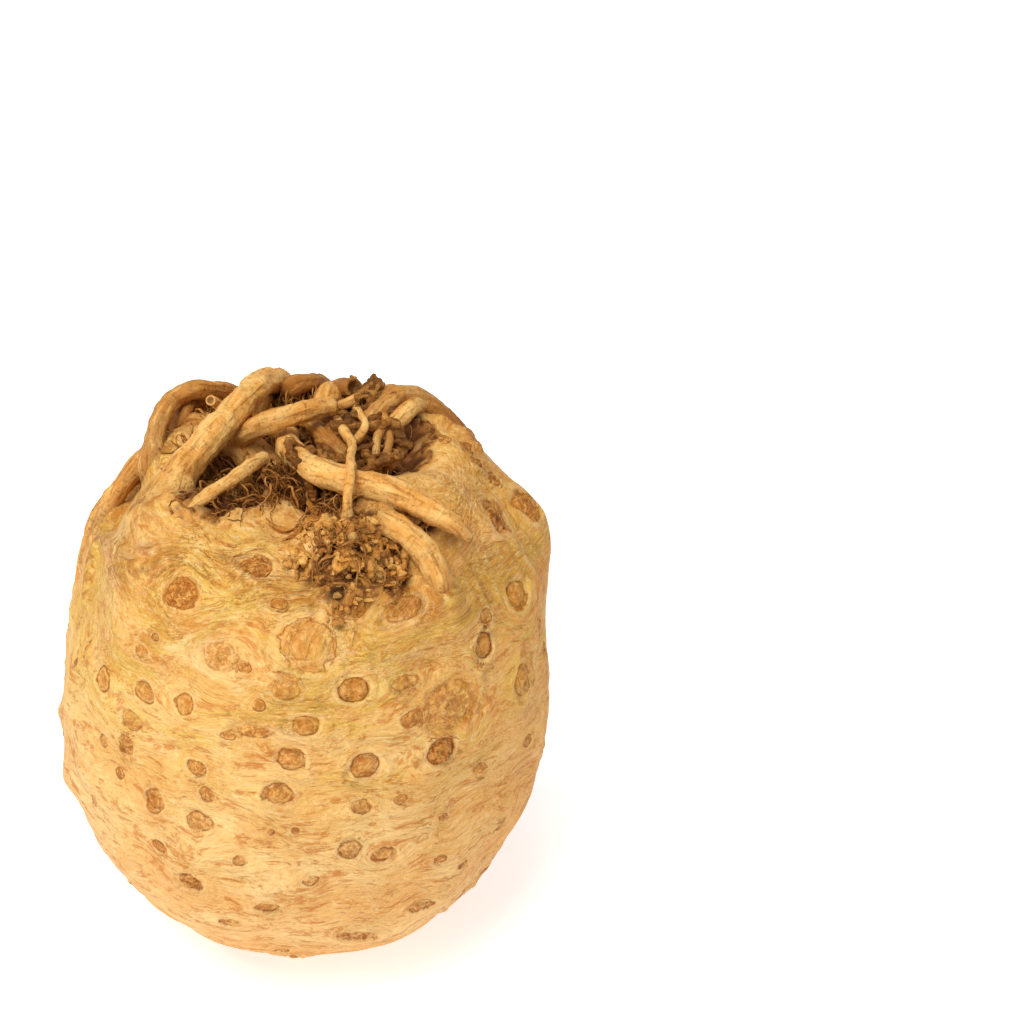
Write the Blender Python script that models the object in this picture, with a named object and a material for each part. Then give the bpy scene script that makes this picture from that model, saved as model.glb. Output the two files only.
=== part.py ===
"""A celeriac root that stands on its trimmed leaf end, with its roots up.

The swollen body, the thick roots that curl over its root end and the rootlets in the hollow between
them grew as one piece, so they are one solid and one object. The body is a rounded barrel whose
surface is a radius for each direction from its heart: lumps, root scars and the hollow are added to
that radius by formula. Roots and rootlets are tapered tubes along smooth paths, sunk into the body
and joined to it by one Boolean union.

Lengths in the formulas are millimetres. The finished object is in metres, +Z up, with its origin in
the middle of the flat spot that it stands on.
"""

import bpy
import bmesh
import numpy as np
from math import cos, pi, radians, sin

MM = 0.001

# Driving sizes, in millimetres and degrees.
BODY_WIDTH = 118.0
HEART_HEIGHT = 62.0
ROOT_END_REACH = 72.0
LEAF_END_REACH = 66.0
ROOT_END_SQUARENESS = 2.25
LEAF_END_SQUARENESS = 2.05
HOLLOW_MIDDLE = (-7.5, 1.5)
HOLLOW_REACH = (31.0, 39.0)
HOLLOW_DEPTH = 16.0
HOLLOW_HEIGHT = 60.0

# The picture that places are read from: the pixel that shows the heart, the pixels across the body,
# how steeply it looks down and from how far.
PICTURE_HEART = (306, 690)
PICTURE_BODY_WIDTH = 493
PICTURE_BODY_MM = 120.0
PICTURE_DOWN = radians(35)
PICTURE_DISTANCE = 700.0

# Broad swellings and dents: pixel of the middle, reach and height in millimetres.
LUMPS = [
    (548, 520, 8, 2.5),
    (440, 480, 14, 1.5),
    (400, 440, 10, -5.0),
    (404, 426, 7, -5.0),
    (392, 452, 8, -5.0),
    (258, 508, 8, 6.0),
    (215, 515, 7, 3.0),
    (62, 714, 4, 1.4),
    (70, 778, 4, 1.2),
    (150, 510, 15, 1.5),
    (116, 480, 13, -5.0),
    (215, 622, 10, -2.2),
    (150, 640, 16, 1.2),
    (307, 645, 9, 1.2),
    (448, 706, 10, -1.0),
    (300, 505, 8, 8.0),
    (345, 556, 7, 5.0),
    (240, 528, 9, 5.0),
    (430, 585, 10, 2.5),
    (395, 560, 6, -3.0),
    (468, 432, 15, 5.0),
    (550, 530, 15, 6.0),
    (548, 610, 15, -2.5),
    (548, 700, 15, -1.0),
    (480, 878, 15, -1.0),
    (395, 942, 15, 1.5),
    (190, 928, 15, 1.0),
    (110, 860, 15, 2.0),
    (63, 680, 15, -1.5),
    (84, 575, 15, -5.0),
]

# Root scars, the ringed eyes in the skin: pixel of the middle, then width and height in millimetres.
SCARS = [
    (257, 567, 7.5, 5.5),
    (181, 594, 8.0, 7.5),
    (221, 657, 8.5, 7.0),
    (307, 645, 14.0, 12.5),
    (351, 605, 9.0, 6.5),
    (404, 610, 9.5, 5.0),
    (484, 646, 6.5, 6.5),
    (518, 596, 8.0, 7.0),
    (524, 681, 8.0, 7.5),
    (355, 691, 8.5, 6.0),
    (305, 726, 6.5, 5.0),
    (291, 759, 6.5, 6.5),
    (440, 752, 8.0, 7.0),
    (365, 766, 7.5, 6.5),
    (277, 794, 7.5, 6.0),
    (104, 679, 6.0, 6.5),
    (146, 693, 6.0, 5.5),
    (133, 720, 6.0, 6.0),
    (128, 744, 5.5, 5.0),
    (156, 800, 5.5, 6.5),
    (201, 820, 6.5, 5.5),
    (191, 881, 6.5, 5.5),
    (349, 850, 6.0, 5.5),
    (383, 855, 6.5, 4.5),
    (357, 937, 10.0, 7.0),
    (452, 706, 16.0, 13.0),
    (496, 515, 10.0, 10.0),
    (528, 505, 8.0, 10.0),
]
HIDDEN_SCARS = 46
DEEPEST_SCAR = 0.6

# Thick roots that run free: name, then for each point its pixel, height above the floor and radius.
FREE_ROOTS = {
    "main": [
        (147, 556, 108, 5.0),
        (158, 528, 116, 5.8),
        (169, 497, 121, 4.9),
        (183, 470, 124, 4.0),
        (202, 447, 127, 3.8),
        (225, 420, 130, 3.7),
        (247, 396, 131, 3.5),
        (263, 381, 130, 3.3),
        (276, 382, 124, 3.2),
        (284, 388, 115, 3.4),
    ],
    "left_arch": [
        (160, 480, 111, 3.0),
        (155, 459, 117, 3.5),
        (155, 438, 121, 2.6),
        (160, 418, 124, 2.5),
        (173, 400, 126, 2.5),
        (189, 391, 127, 2.4),
        (207, 389, 126, 2.4),
        (228, 393, 122, 2.4),
        (248, 402, 115, 2.6),
    ],
    "inner_arch": [
        (200, 386, 121, 1.9),
        (190, 398, 123, 2.1),
        (181, 420, 121, 2.1),
        (172, 445, 113, 2.4),
    ],
    "behind_arch": [
        (166, 432, 110, 2.6),
        (176, 414, 118, 2.8),
        (190, 405, 121, 2.7),
        (206, 402, 120, 2.6),
        (222, 404, 114, 2.6),
    ],
    "outer_left": [
        (77, 612, 71, 1.3),
        (80, 590, 74, 1.6),
        (85, 560, 82, 1.6),
        (89, 540, 88, 1.6),
        (92, 524, 93, 1.6),
        (100, 510, 98, 1.7),
        (112, 496, 103, 1.9),
        (124, 481, 107, 2.0),
        (133, 467, 110, 2.0),
        (148, 452, 113, 2.0),
        (165, 442, 112, 2.0),
    ],
    "short_front": [
        (192, 550, 114, 1.3),
        (188, 532, 119, 1.3),
        (187, 517, 123, 1.6),
        (197, 505, 126, 1.6),
        (224, 484, 129, 1.5),
        (250, 466, 130, 1.5),
        (264, 458, 129, 1.7),
    ],
    "cross": [
        (218, 452, 113, 2.6),
        (233, 438, 123, 3.0),
        (256, 427, 128, 2.6),
        (283, 418, 131, 2.6),
        (310, 409, 132, 2.5),
        (331, 405, 131, 2.4),
    ],
    "long_front": [
        (298, 418, 112, 2.3),
        (287, 432, 120, 2.6),
        (291, 452, 126, 3.1),
        (311, 468, 129, 3.2),
        (335, 477, 130, 3.3),
        (362, 484, 130, 3.4),
        (400, 496, 130, 3.3),
        (431, 510, 128, 2.8),
        (452, 524, 125, 2.1),
        (470, 538, 119, 1.0),
    ],
    "right_front": [
        (366, 517, 124, 2.3),
        (386, 523, 126, 2.7),
        (408, 536, 125, 3.0),
        (425, 553, 121, 3.2),
        (435, 574, 117, 3.1),
        (441, 597, 111, 2.8),
        (447, 620, 104, 2.4),
    ],
    "back_knob": [
        (286, 408, 112, 4.2),
        (292, 396, 122, 3.4),
        (297, 384, 128, 2.8),
        (306, 382, 128, 2.4),
        (318, 388, 120, 3.0),
    ],
    "back_stub": [
        (318, 400, 112, 3.8),
        (332, 394, 122, 3.0),
        (345, 388, 128, 2.6),
        (354, 387, 130, 2.4),
    ],
    "back_splinter": [
        (268, 396, 116, 3.0),
        (262, 400, 124, 2.4),
        (254, 408, 128, 1.9),
        (247, 416, 129, 1.5),
    ],
    "nub": [
        (224, 410, 126, 1.3),
        (215, 403, 129, 1.2),
        (210, 400, 131, 1.1),
    ],
    "strand": [
        (336, 407, 126, 1.3),
        (350, 401, 130, 1.3),
        (362, 395, 130, 1.2),
        (375, 390, 126, 1.5),
    ],
    "net_short": [
        (352, 404, 127, 1.1),
        (359, 412, 130, 1.0),
        (364, 428, 130, 1.0),
        (356, 441, 127, 1.1),
    ],
    "net_main": [
        (329, 408, 124, 1.2),
        (341, 426, 128, 1.1),
        (352, 446, 131, 1.1),
        (350, 460, 133, 1.1),
        (351, 474, 134, 1.1),
        (348, 491, 133, 1.1),
        (347, 507, 130, 1.2),
        (347, 525, 126, 1.8),
        (355, 544, 118, 1.8),
    ],
    "net_thick": [
        (302, 412, 118, 2.0),
        (314, 426, 124, 2.2),
        (331, 442, 126, 2.0),
        (348, 454, 125, 1.6),
    ],
    "net_right": [
        (360, 402, 125, 1.1),
        (374, 410, 128, 1.1),
        (386, 422, 128, 1.1),
        (378, 434, 127, 1.0),
        (376, 455, 124, 1.1),
        (380, 470, 118, 1.2),
    ],
    "net_far_right": [
        (384, 422, 126, 1.0),
        (390, 438, 126, 1.0),
        (386, 458, 123, 1.0),
        (392, 474, 117, 1.2),
    ],
}

# Roots half grown into the skin: for each point its pixel, lift above the skin and radius.
CLINGING_ROOTS = {
    "right_ridge": [
        (362, 402, -1.6, 2.2),
        (384, 400, 0.9, 2.7),
        (411, 405, 1.2, 2.9),
        (436, 416, 1.0, 2.7),
        (456, 428, 0.2, 2.2),
        (474, 445, -1.2, 1.8),
    ],
    "shoulder_loop": [
        (104, 538, -0.6, 1.2),
        (118, 553, 0.3, 1.5),
        (142, 559, 0.3, 1.5),
        (163, 554, -0.8, 1.2),
    ],
    "shoulder_line": [
        (112, 572, -0.8, 1.0),
        (135, 571, 0.1, 1.2),
        (156, 566, 0.1, 1.2),
        (170, 558, -0.8, 1.0),
    ],
    "shoulder_edge": [
        (90, 600, -0.8, 1.0),
        (93, 570, 0.1, 1.1),
        (100, 545, 0.1, 1.2),
        (118, 512, -0.6, 1.2),
    ],
    "brow_line": [
        (222, 562, -1.0, 0.9),
        (262, 589, -0.4, 1.1),
        (318, 596, -0.4, 1.1),
        (368, 590, -0.4, 1.1),
        (412, 600, -1.0, 0.9),
    ],
}

# Roots of the far side, by rule: how many, and where their bearings start and end.
BACK_ROOTS = 7
BACK_BEARINGS = (126.0, 228.0)
# Rootlets in the hollow.
ROOTLETS = 22
ROOTLET_RADIUS = 1.05
ROOTLETS_MIDDLE = (5.0, 8.0)
ROOTLETS_REACH = (9.0, 12.0)
SEED = 7

# Fineness of the mesh: how often the icosphere is divided, the size of the skin's grain, the triangles
# that are left after thinning, and how near the floor counts as on it.
BODY_SUBDIVISIONS = 7
GRAIN = 0.65
MOST_TRIANGLES = 11400
ON_FLOOR = 0.25
SKIN_COLOUR = (0.83, 0.52, 0.19, 1.0)


def unit(v):
    """Each row of v at length one."""
    return v / np.linalg.norm(v, axis=-1, keepdims=True)


def ease(t):
    """0 to 1 with level ends as t goes from 0 to 1."""
    t = np.clip(t, 0.0, 1.0)
    return t * t * (3.0 - 2.0 * t)


def waves(p, size, seed, count=24):
    """Smooth random relief, mostly between -1 and 1: plane waves `size` apart that cross at random."""
    rng = np.random.default_rng(seed)
    crests = unit(rng.normal(size=(count, 3))) * (2.0 * pi / size)
    starts = rng.uniform(0.0, 2.0 * pi, count)
    return np.sin(p @ crests.T + starts).sum(axis=1) / np.sqrt(count)


def in_hollow(d):
    """1 over the floor of the hollow, falling to 0 at its oval lip. Its reach is measured level, at the
    lip's height above the heart. There is none in the leaf end's half."""
    level = HOLLOW_HEIGHT * d[:, :2] / np.maximum(d[:, 2:], 0.3)
    from_middle = np.linalg.norm((level - HOLLOW_MIDDLE) / HOLLOW_REACH, axis=1)
    return (d[:, 2] > 0.0) * (1.0 - ease((from_middle - 0.3) / 0.7))


def barrel(d):
    """The radius of the plain body along each unit direction: two superellipsoid halves that meet at
    its waist, with an oval hollow in the root end."""
    root_end = d[:, 2] > 0.0
    n = np.where(root_end, ROOT_END_SQUARENESS, LEAF_END_SQUARENESS)
    reach = np.where(root_end, ROOT_END_REACH, LEAF_END_REACH)
    across = np.hypot(d[:, 0], d[:, 1])
    radius = ((across / (BODY_WIDTH / 2)) ** n + (np.abs(d[:, 2]) / reach) ** n) ** (-1.0 / n)
    return radius - HOLLOW_DEPTH * in_hollow(d)


def eye():
    """Where the picture is seen from, relative to the heart."""
    return PICTURE_DISTANCE * np.array([0.0, -cos(PICTURE_DOWN), sin(PICTURE_DOWN)])


def sight(pixels):
    """The unit direction of the sight line through each pixel."""
    mm_per_px = PICTURE_BODY_MM / PICTURE_BODY_WIDTH
    offset = (np.asarray(pixels, float) - PICTURE_HEART) * mm_per_px
    right = np.array([1.0, 0.0, 0.0])
    up = np.array([0.0, sin(PICTURE_DOWN), cos(PICTURE_DOWN)])
    return unit(offset[:, :1] * right - offset[:, 1:] * up - eye())


def at_height(pixels, height):
    """The point that each pixel shows, if it is `height` above the floor. Relative to the heart."""
    along = sight(pixels)
    reach = (np.asarray(height, float) - HEART_HEIGHT - eye()[2]) / along[:, 2]
    return eye() + reach[:, None] * along


def on_skin(pixels, radius_of):
    """Where each sight line first meets the body, or passes closest to it."""
    along = sight(pixels)
    nearest = -(along @ eye())
    steps = np.linspace(-90.0, 0.0, 361)
    points = eye() + (nearest[:, None] + steps)[..., None] * along[:, None, :]
    flat = points.reshape(-1, 3)
    outside = (np.linalg.norm(flat, axis=1) - radius_of(unit(flat))).reshape(points.shape[:2])
    met = (outside < 0.0).any(axis=1)
    first = np.where(met, (outside < 0.0).argmax(axis=1), outside.argmin(axis=1))
    return points[np.arange(len(points)), first]


LUMP_WAYS = unit(on_skin([lump[:2] for lump in LUMPS], barrel))


def lumpy(d):
    """The barrel's radius with its broad swellings, dents and slow random waviness."""
    radius = barrel(d)
    ground = d * (BODY_WIDTH / 2)
    for way, (_, _, reach, height) in zip(LUMP_WAYS, LUMPS):
        away = BODY_WIDTH / 2 * np.linalg.norm(d - way, axis=1)
        radius = radius + height * np.exp(-((away / reach) ** 2))
    radius = radius + 0.8 * waves(ground, 46.0, SEED) + 0.5 * waves(ground, 19.0, SEED + 1)
    return radius + in_hollow(d) * (2.4 * waves(ground, 13.0, SEED + 2) + 1.2 * waves(ground, 7.0, SEED + 3))


def far_scars():
    """Scars for the sides that the picture doesn't show, at random but clear of each other: unit
    direction of the middle, then width and height."""
    rng = np.random.default_rng(SEED)
    taken = [*unit(on_skin([scar[:2] for scar in SCARS], lumpy))]
    found = []
    towards_eye = unit(eye())
    while len(found) < HIDDEN_SCARS:
        way = unit(rng.normal(size=3))
        width = rng.uniform(5.0, 11.0)
        in_sight = way @ towards_eye > 0.05
        on_flat_or_hollow = way[2] < -0.86 or way[2] > 0.72
        crowded = min(np.linalg.norm(way - other) for other in taken) * BODY_WIDTH / 2 < 1.25 * width
        if not (in_sight or on_flat_or_hollow or crowded):
            taken.append(way)
            found.append((way, width, width * rng.uniform(0.65, 0.95)))
    return found


def all_scars():
    """Every scar as its unit direction, width and height."""
    ways = unit(on_skin([scar[:2] for scar in SCARS], lumpy))
    return [(way, scar[2], scar[3]) for way, scar in zip(ways, SCARS)] + far_scars()


def scarred(d):
    """The lumpy radius with a raised rim, a groove and a low dome at each root scar."""
    radius = lumpy(d)
    points = d * radius[:, None]
    for way, width, height in all_scars():
        middle = way * lumpy(way[None])[0]
        level = unit(np.array([-way[1], way[0], 0.0]))
        upright = np.cross(way, level)
        near = np.flatnonzero(np.linalg.norm(points - middle, axis=1) < 1.6 * width)
        gap = points[near] - middle
        q = np.hypot(gap @ level / (width / 2), gap @ upright / (height / 2))
        depth = min(0.037 * (width + height), DEEPEST_SCAR)
        rim = np.exp(-(((q - 1.15) / 0.24) ** 2))
        groove = np.exp(-(((q - 0.78) / 0.2) ** 2))
        dome = np.exp(-((q / 0.5) ** 2))
        radius[near] += depth * (0.9 * rim - 1.1 * groove + 0.3 * dome)
    return radius


def body_surface(d):
    """Points of the body for unit directions: the scarred radius, cut flat where the leaves were trimmed."""
    radius = scarred(d)
    downwards = np.maximum(-d[:, 2], 1e-6)
    return d * np.minimum(radius, HEART_HEIGHT / downwards)[:, None]


def smooth_path(knots, spacing):
    """Points about `spacing` apart on a smooth curve through the knots: cubic pieces whose slopes at
    the knots follow their neighbours. The radius is the fourth number of each point."""
    knots = np.asarray(knots, float)
    at = np.append(0.0, np.cumsum(np.linalg.norm(np.diff(knots[:, :3], axis=0), axis=1)))
    slope = np.gradient(knots, at, axis=0)
    along = np.linspace(0.0, at[-1], int(max(6, at[-1] / spacing)) + 1)
    i = np.clip(np.searchsorted(at, along, side="right") - 1, 0, len(at) - 2)
    span = (at[i + 1] - at[i])[:, None]
    t = (along - at[i])[:, None] / span
    start = (2 * t**3 - 3 * t**2 + 1) * knots[i] + (t**3 - 2 * t**2 + t) * span * slope[i]
    end = (3 * t**2 - 2 * t**3) * knots[i + 1] + (t**3 - t**2) * span * slope[i + 1]
    return start + end


def tube(path, sides):
    """Vertices and faces of a closed tube along the path, with rounded ends."""
    centre, radius = path[:, :3], path[:, 3]
    step = np.linalg.norm(np.gradient(centre, axis=0), axis=1)
    tangent = unit(np.gradient(centre, axis=0))
    across = [unit(np.cross(tangent[0], [0.31, 0.22, 0.93]))]
    for ahead in tangent[1:]:
        across.append(unit(across[-1] - (across[-1] @ ahead) * ahead))
    across = np.array(across)
    other = np.cross(tangent, across)
    from_end = np.minimum(np.arange(len(path)), np.arange(len(path))[::-1]) * step
    nose = np.sqrt(np.clip(1.0 - (1.0 - np.clip(from_end / radius, 0, 1)) ** 2, 0.0, 1.0))
    turn = np.linspace(0.0, 2.0 * pi, sides, endpoint=False)
    ring = np.cos(turn)[:, None] * across[1:-1, None] + np.sin(turn)[:, None] * other[1:-1, None]
    rings = centre[1:-1, None] + (radius * nose)[1:-1, None, None] * ring
    vertices = np.vstack([rings.reshape(-1, 3), centre[:1], centre[-1:]])
    rows = len(path) - 2
    faces = []
    for row in range(rows - 1):
        for side in range(sides):
            a, b = row * sides + side, row * sides + (side + 1) % sides
            faces.append((a, b, b + sides, a + sides))
    for side in range(sides):
        after = (side + 1) % sides
        faces.append((rows * sides, after, side))
        faces.append((rows * sides + 1, (rows - 1) * sides + side, (rows - 1) * sides + after))
    return vertices, faces


def free_roots():
    """Paths of the thick roots, read from the picture."""
    for points in FREE_ROOTS.values():
        points = np.array(points, float)
        yield np.column_stack([at_height(points[:, :2], points[:, 2]), points[:, 3]])


def clinging_roots():
    """Paths of the roots that have half grown into the skin."""
    for points in CLINGING_ROOTS.values():
        points = np.array(points, float)
        skin = on_skin(points[:, :2], lumpy)
        yield np.column_stack([skin + unit(skin) * points[:, 2:3], points[:, 3]])


def around(bearing, out, up):
    """A point at this compass bearing from the viewer's side, this far from the axis and above the heart."""
    return [out * sin(bearing), -out * cos(bearing), up]


def back_roots():
    """Paths of the far side's roots: each leaves the hollow, crosses its lip and lies down the shoulder."""
    rng = np.random.default_rng(SEED + 5)
    for i in range(BACK_ROOTS):
        bearing = radians(np.interp(i + rng.uniform(-0.3, 0.3), (0, BACK_ROOTS - 1), BACK_BEARINGS))
        swing = radians(rng.uniform(-26, 26))
        thick = rng.uniform(1.7, 3.1)
        reach = rng.uniform(0.45, 1.0)
        ways = unit(np.array([
            around(bearing, 16, 60),
            around(bearing + 0.2 * swing, 30, 62),
            around(bearing + 0.6 * swing, 42, 54),
            around(bearing + swing, 52, 54 - 24 * reach),
            around(bearing + 1.3 * swing, 58, 50 - 44 * reach),
        ]))
        lifts = np.array([-2.0, 3.2, 1.6, 0.5, -1.2])
        widths = np.array([1.2, 1.1, 1.0, 0.75, 0.45])
        yield np.column_stack([ways * (lumpy(ways) + lifts)[:, None], thick * widths])


def rootlets():
    """Paths of the fine roots: each bows up out of the hollow's floor and down into it again."""
    rng = np.random.default_rng(SEED + 6)
    for _ in range(ROOTLETS):
        middle = rng.uniform(-1.0, 1.0, 2) * ROOTLETS_REACH + ROOTLETS_MIDDLE
        bearing = rng.uniform(0.0, 2.0 * pi)
        span = rng.uniform(6.0, 12.0)
        along = np.linspace(-span, span, 5)
        sway = rng.uniform(-4.0, 4.0, 5)
        x = middle[0] + along * cos(bearing) - sway * sin(bearing)
        y = middle[1] + along * sin(bearing) + sway * cos(bearing)
        ways = unit(np.column_stack([x, y, np.full(5, 60.0)]))
        lifts = np.array([-2.5, *rng.uniform(2.0, 7.0, 3), -2.5])
        radii = ROOTLET_RADIUS * rng.uniform(0.8, 1.4) * np.ones(5)
        yield np.column_stack([ways * (lumpy(ways) + lifts)[:, None], radii])


def add_object(name, vertices, faces, collection):
    """A mesh object from points relative to the heart, in millimetres."""
    mesh = bpy.data.meshes.new(name)
    mesh.from_pydata((vertices + [0.0, 0.0, HEART_HEIGHT]) * MM, [], faces)
    obj = bpy.data.objects.new(name, mesh)
    collection.objects.link(obj)
    return obj


def body():
    """The swollen body, from a fine icosphere whose vertices are its directions."""
    bm = bmesh.new()
    bmesh.ops.create_icosphere(bm, subdivisions=BODY_SUBDIVISIONS, radius=1.0)
    ways = unit(np.array([v.co for v in bm.verts]))
    faces = [[v.index for v in face.verts] for face in bm.faces]
    bm.free()
    return add_object("celeriac_root", body_surface(ways), faces, bpy.context.scene.collection)


def root_collection():
    """Every root and rootlet as a closed tube, in a collection of their own."""
    collection = bpy.data.collections.new("roots")
    bpy.context.scene.collection.children.link(collection)
    for path in [*free_roots(), *back_roots()]:
        add_object("root", *tube(smooth_path(path, 2.2), 9), collection)
    for path in clinging_roots():
        add_object("clinging", *tube(smooth_path(path, 2.2), 7), collection)
    for path in rootlets():
        add_object("rootlet", *tube(smooth_path(path, 2.4), 6), collection)
    return collection


def apply_modifier(obj, modifier):
    with bpy.context.temp_override(object=obj, active_object=obj, selected_objects=[obj]):
        bpy.ops.object.modifier_apply(modifier=modifier.name)


def fuse(obj, collection):
    """Joins the collection's tubes to obj by one Boolean union, and removes them."""
    union = obj.modifiers.new("fuse_roots", "BOOLEAN")
    union.operation = "UNION"
    union.solver = "MANIFOLD"
    union.operand_type = "COLLECTION"
    union.collection = collection
    apply_modifier(obj, union)
    for piece in list(collection.objects):
        bpy.data.objects.remove(piece)
    bpy.data.collections.remove(collection)


def keep_outer_skin(obj):
    """Fills what the union sealed in and drops loose scraps: only the largest connected skin stays."""
    bm = bmesh.new()
    bm.from_mesh(obj.data)
    left = set(bm.verts)
    shells = []
    while left:
        shell, edge = set(), [left.pop()]
        while edge:
            vertex = edge.pop()
            shell.add(vertex)
            fresh = {e.other_vert(vertex) for e in vertex.link_edges} & left
            left -= fresh
            edge.extend(fresh)
        shells.append(shell)
    shells.sort(key=len)
    bmesh.ops.delete(bm, geom=[v for shell in shells[:-1] for v in shell], context="VERTS")
    bm.to_mesh(obj.data)
    bm.free()


def grow_together(obj):
    """Lays one even skin over the union, which rounds the joints of roots and body a little."""
    remesh = obj.modifiers.new("grow_together", "REMESH")
    remesh.mode = "VOXEL"
    remesh.voxel_size = GRAIN * MM
    remesh.adaptivity = 0.0
    apply_modifier(obj, remesh)


def level_flat_spot(obj):
    """Sets what lies nearest the floor exactly on it."""
    for vertex in obj.data.vertices:
        if vertex.co.z < ON_FLOOR * MM:
            vertex.co.z = 0.0


def thin_out(obj):
    """Collapses edges where the surface is smooth, down to the triangles that a light model can have."""
    obj.data.calc_loop_triangles()
    decimate = obj.modifiers.new("thin_out", "DECIMATE")
    decimate.decimate_type = "COLLAPSE"
    decimate.use_collapse_triangulate = True
    decimate.ratio = MOST_TRIANGLES / len(obj.data.loop_triangles)
    apply_modifier(obj, decimate)


def skin_material():
    material = bpy.data.materials.new("celeriac_skin")
    material.use_nodes = True
    shader = material.node_tree.nodes["Principled BSDF"]
    shader.inputs["Base Color"].default_value = SKIN_COLOUR
    shader.inputs["Roughness"].default_value = 0.7
    shader.inputs["Metallic"].default_value = 0.0
    return material


def main():
    for obj in list(bpy.data.objects):
        bpy.data.objects.remove(obj)
    celeriac = body()
    fuse(celeriac, root_collection())
    grow_together(celeriac)
    keep_outer_skin(celeriac)
    thin_out(celeriac)
    level_flat_spot(celeriac)
    celeriac.data.materials.clear()
    celeriac.data.materials.append(skin_material())
    celeriac.data.shade_smooth()


main()
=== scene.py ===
# %% [markdown]
# # A celeriac root
#
# Celeriac is the swollen foot of a celery plant. This one stands on the end where its leaves were
# trimmed off, so the roots are on top: a few thick ones curl over the crown of the bulb, and a mat of
# brown rootlets fills the hollow between them. The skin is cream to ochre, wrinkled round the bulb like
# cloth, and dotted with ringed scars where side roots once grew.
#
# The frame comes first. It holds the solid that everything here has to agree with, and its box is kept
# and printed, as is the finished look's at the end.

# %% Load the solid model
from math import cos, pi, radians, sin

import bpy
import numpy as np
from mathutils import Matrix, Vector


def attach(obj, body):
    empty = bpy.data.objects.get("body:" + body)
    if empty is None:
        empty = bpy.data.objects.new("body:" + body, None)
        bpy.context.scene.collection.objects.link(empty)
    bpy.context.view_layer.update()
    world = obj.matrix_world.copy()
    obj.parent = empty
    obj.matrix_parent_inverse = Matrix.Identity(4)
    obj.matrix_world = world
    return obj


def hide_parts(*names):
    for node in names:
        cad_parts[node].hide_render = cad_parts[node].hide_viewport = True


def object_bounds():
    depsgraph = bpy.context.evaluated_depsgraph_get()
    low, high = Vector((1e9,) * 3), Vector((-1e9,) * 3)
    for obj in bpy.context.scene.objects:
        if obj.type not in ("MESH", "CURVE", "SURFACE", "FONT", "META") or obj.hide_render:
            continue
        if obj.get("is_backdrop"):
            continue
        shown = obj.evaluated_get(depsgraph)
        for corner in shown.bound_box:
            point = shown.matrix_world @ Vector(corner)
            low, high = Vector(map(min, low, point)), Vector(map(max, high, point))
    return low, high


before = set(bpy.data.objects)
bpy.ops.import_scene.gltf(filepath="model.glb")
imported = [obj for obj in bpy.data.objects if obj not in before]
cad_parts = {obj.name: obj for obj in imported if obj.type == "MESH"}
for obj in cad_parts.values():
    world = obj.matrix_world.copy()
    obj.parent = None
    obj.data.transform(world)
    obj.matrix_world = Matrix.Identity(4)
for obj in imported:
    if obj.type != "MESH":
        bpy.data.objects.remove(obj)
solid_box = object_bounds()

MM = 0.001
# Every random draw starts from this number plus one of its own, so each run gives the same shapes.
SEED = 7
print("solid model:", [round(float(c) / MM, 1) for corner in solid_box for c in corner], "mm")

# %% [markdown]
# ## Small tools for shapes
#
# Four helpers do most of the modelling. `unit` turns arrows into directions, `ease` is a soft step,
# `bell` a soft hump, and `waves` is smooth randomness. Blender has noise textures of its own, but a sum
# of crossing sine waves can be worked out on whole arrays at once, and it gives the same bumps on
# every run.

# %% Directions, soft steps and smooth randomness
def unit(v):
    """Each row of v at length one."""
    return v / np.linalg.norm(v, axis=-1, keepdims=True)


def ease(t):
    """0 to 1 with level ends as t goes from 0 to 1: 3 t squared minus 2 t cubed."""
    t = np.clip(t, 0.0, 1.0)
    return t * t * (3.0 - 2.0 * t)


def bell(t):
    """1 at t = 0 and falling smoothly to nothing by about t = 2: e to the minus t squared."""
    return np.exp(-(t**2))


def waves(p, size, seed, count=24):
    """Smooth random relief, mostly between -1 and 1: plane waves `size` apart that cross at random."""
    rng = np.random.default_rng(seed)
    crests = unit(rng.normal(size=(count, 3))) * (2.0 * pi / size)
    starts = rng.uniform(0.0, 2.0 * pi, count)
    return np.sin(p @ crests.T + starts).sum(axis=1) / np.sqrt(count)


print("waves 10 mm apart, at three points:", waves(np.eye(3) * 5.0, 10.0, SEED).round(2))

# %% [markdown]
# ## Reading places from the photograph
#
# Every scar and root was found by its pixel. A pixel is only a line of sight, so a second fact settles
# the place: either the point lies on the skin, or its height above the floor is known. Both helpers
# work in millimetres from the heart of the bulb, the point that its shape is measured from.

# %% From a pixel to a point
HEART_HEIGHT = 62.0
HEART = np.array([0.0, 0.0, HEART_HEIGHT])
PICTURE_SIDE = 1024
PICTURE_HEART = np.array([306.0, 690.0])
PICTURE_BODY_WIDTH = 493
PICTURE_BODY_MM = 120.0
PICTURE_DOWN = radians(35)
PICTURE_DISTANCE = 700.0
MM_PER_PIXEL = PICTURE_BODY_MM / PICTURE_BODY_WIDTH
RIGHT = np.array([1.0, 0.0, 0.0])
UP = np.array([0.0, sin(PICTURE_DOWN), cos(PICTURE_DOWN)])
EYE = PICTURE_DISTANCE * np.array([0.0, -cos(PICTURE_DOWN), sin(PICTURE_DOWN)])


def sight(pixels):
    """The unit direction of the line of sight through each pixel."""
    offset = (np.asarray(pixels, float) - PICTURE_HEART) * MM_PER_PIXEL
    return unit(offset[:, :1] * RIGHT - offset[:, 1:] * UP - EYE)


def at_height(pixels, height):
    """The point that each pixel shows, if it is `height` above the floor."""
    along = sight(pixels)
    reach = (np.asarray(height, float) - HEART_HEIGHT - EYE[2]) / along[:, 2]
    return EYE + reach[:, None] * along


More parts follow.
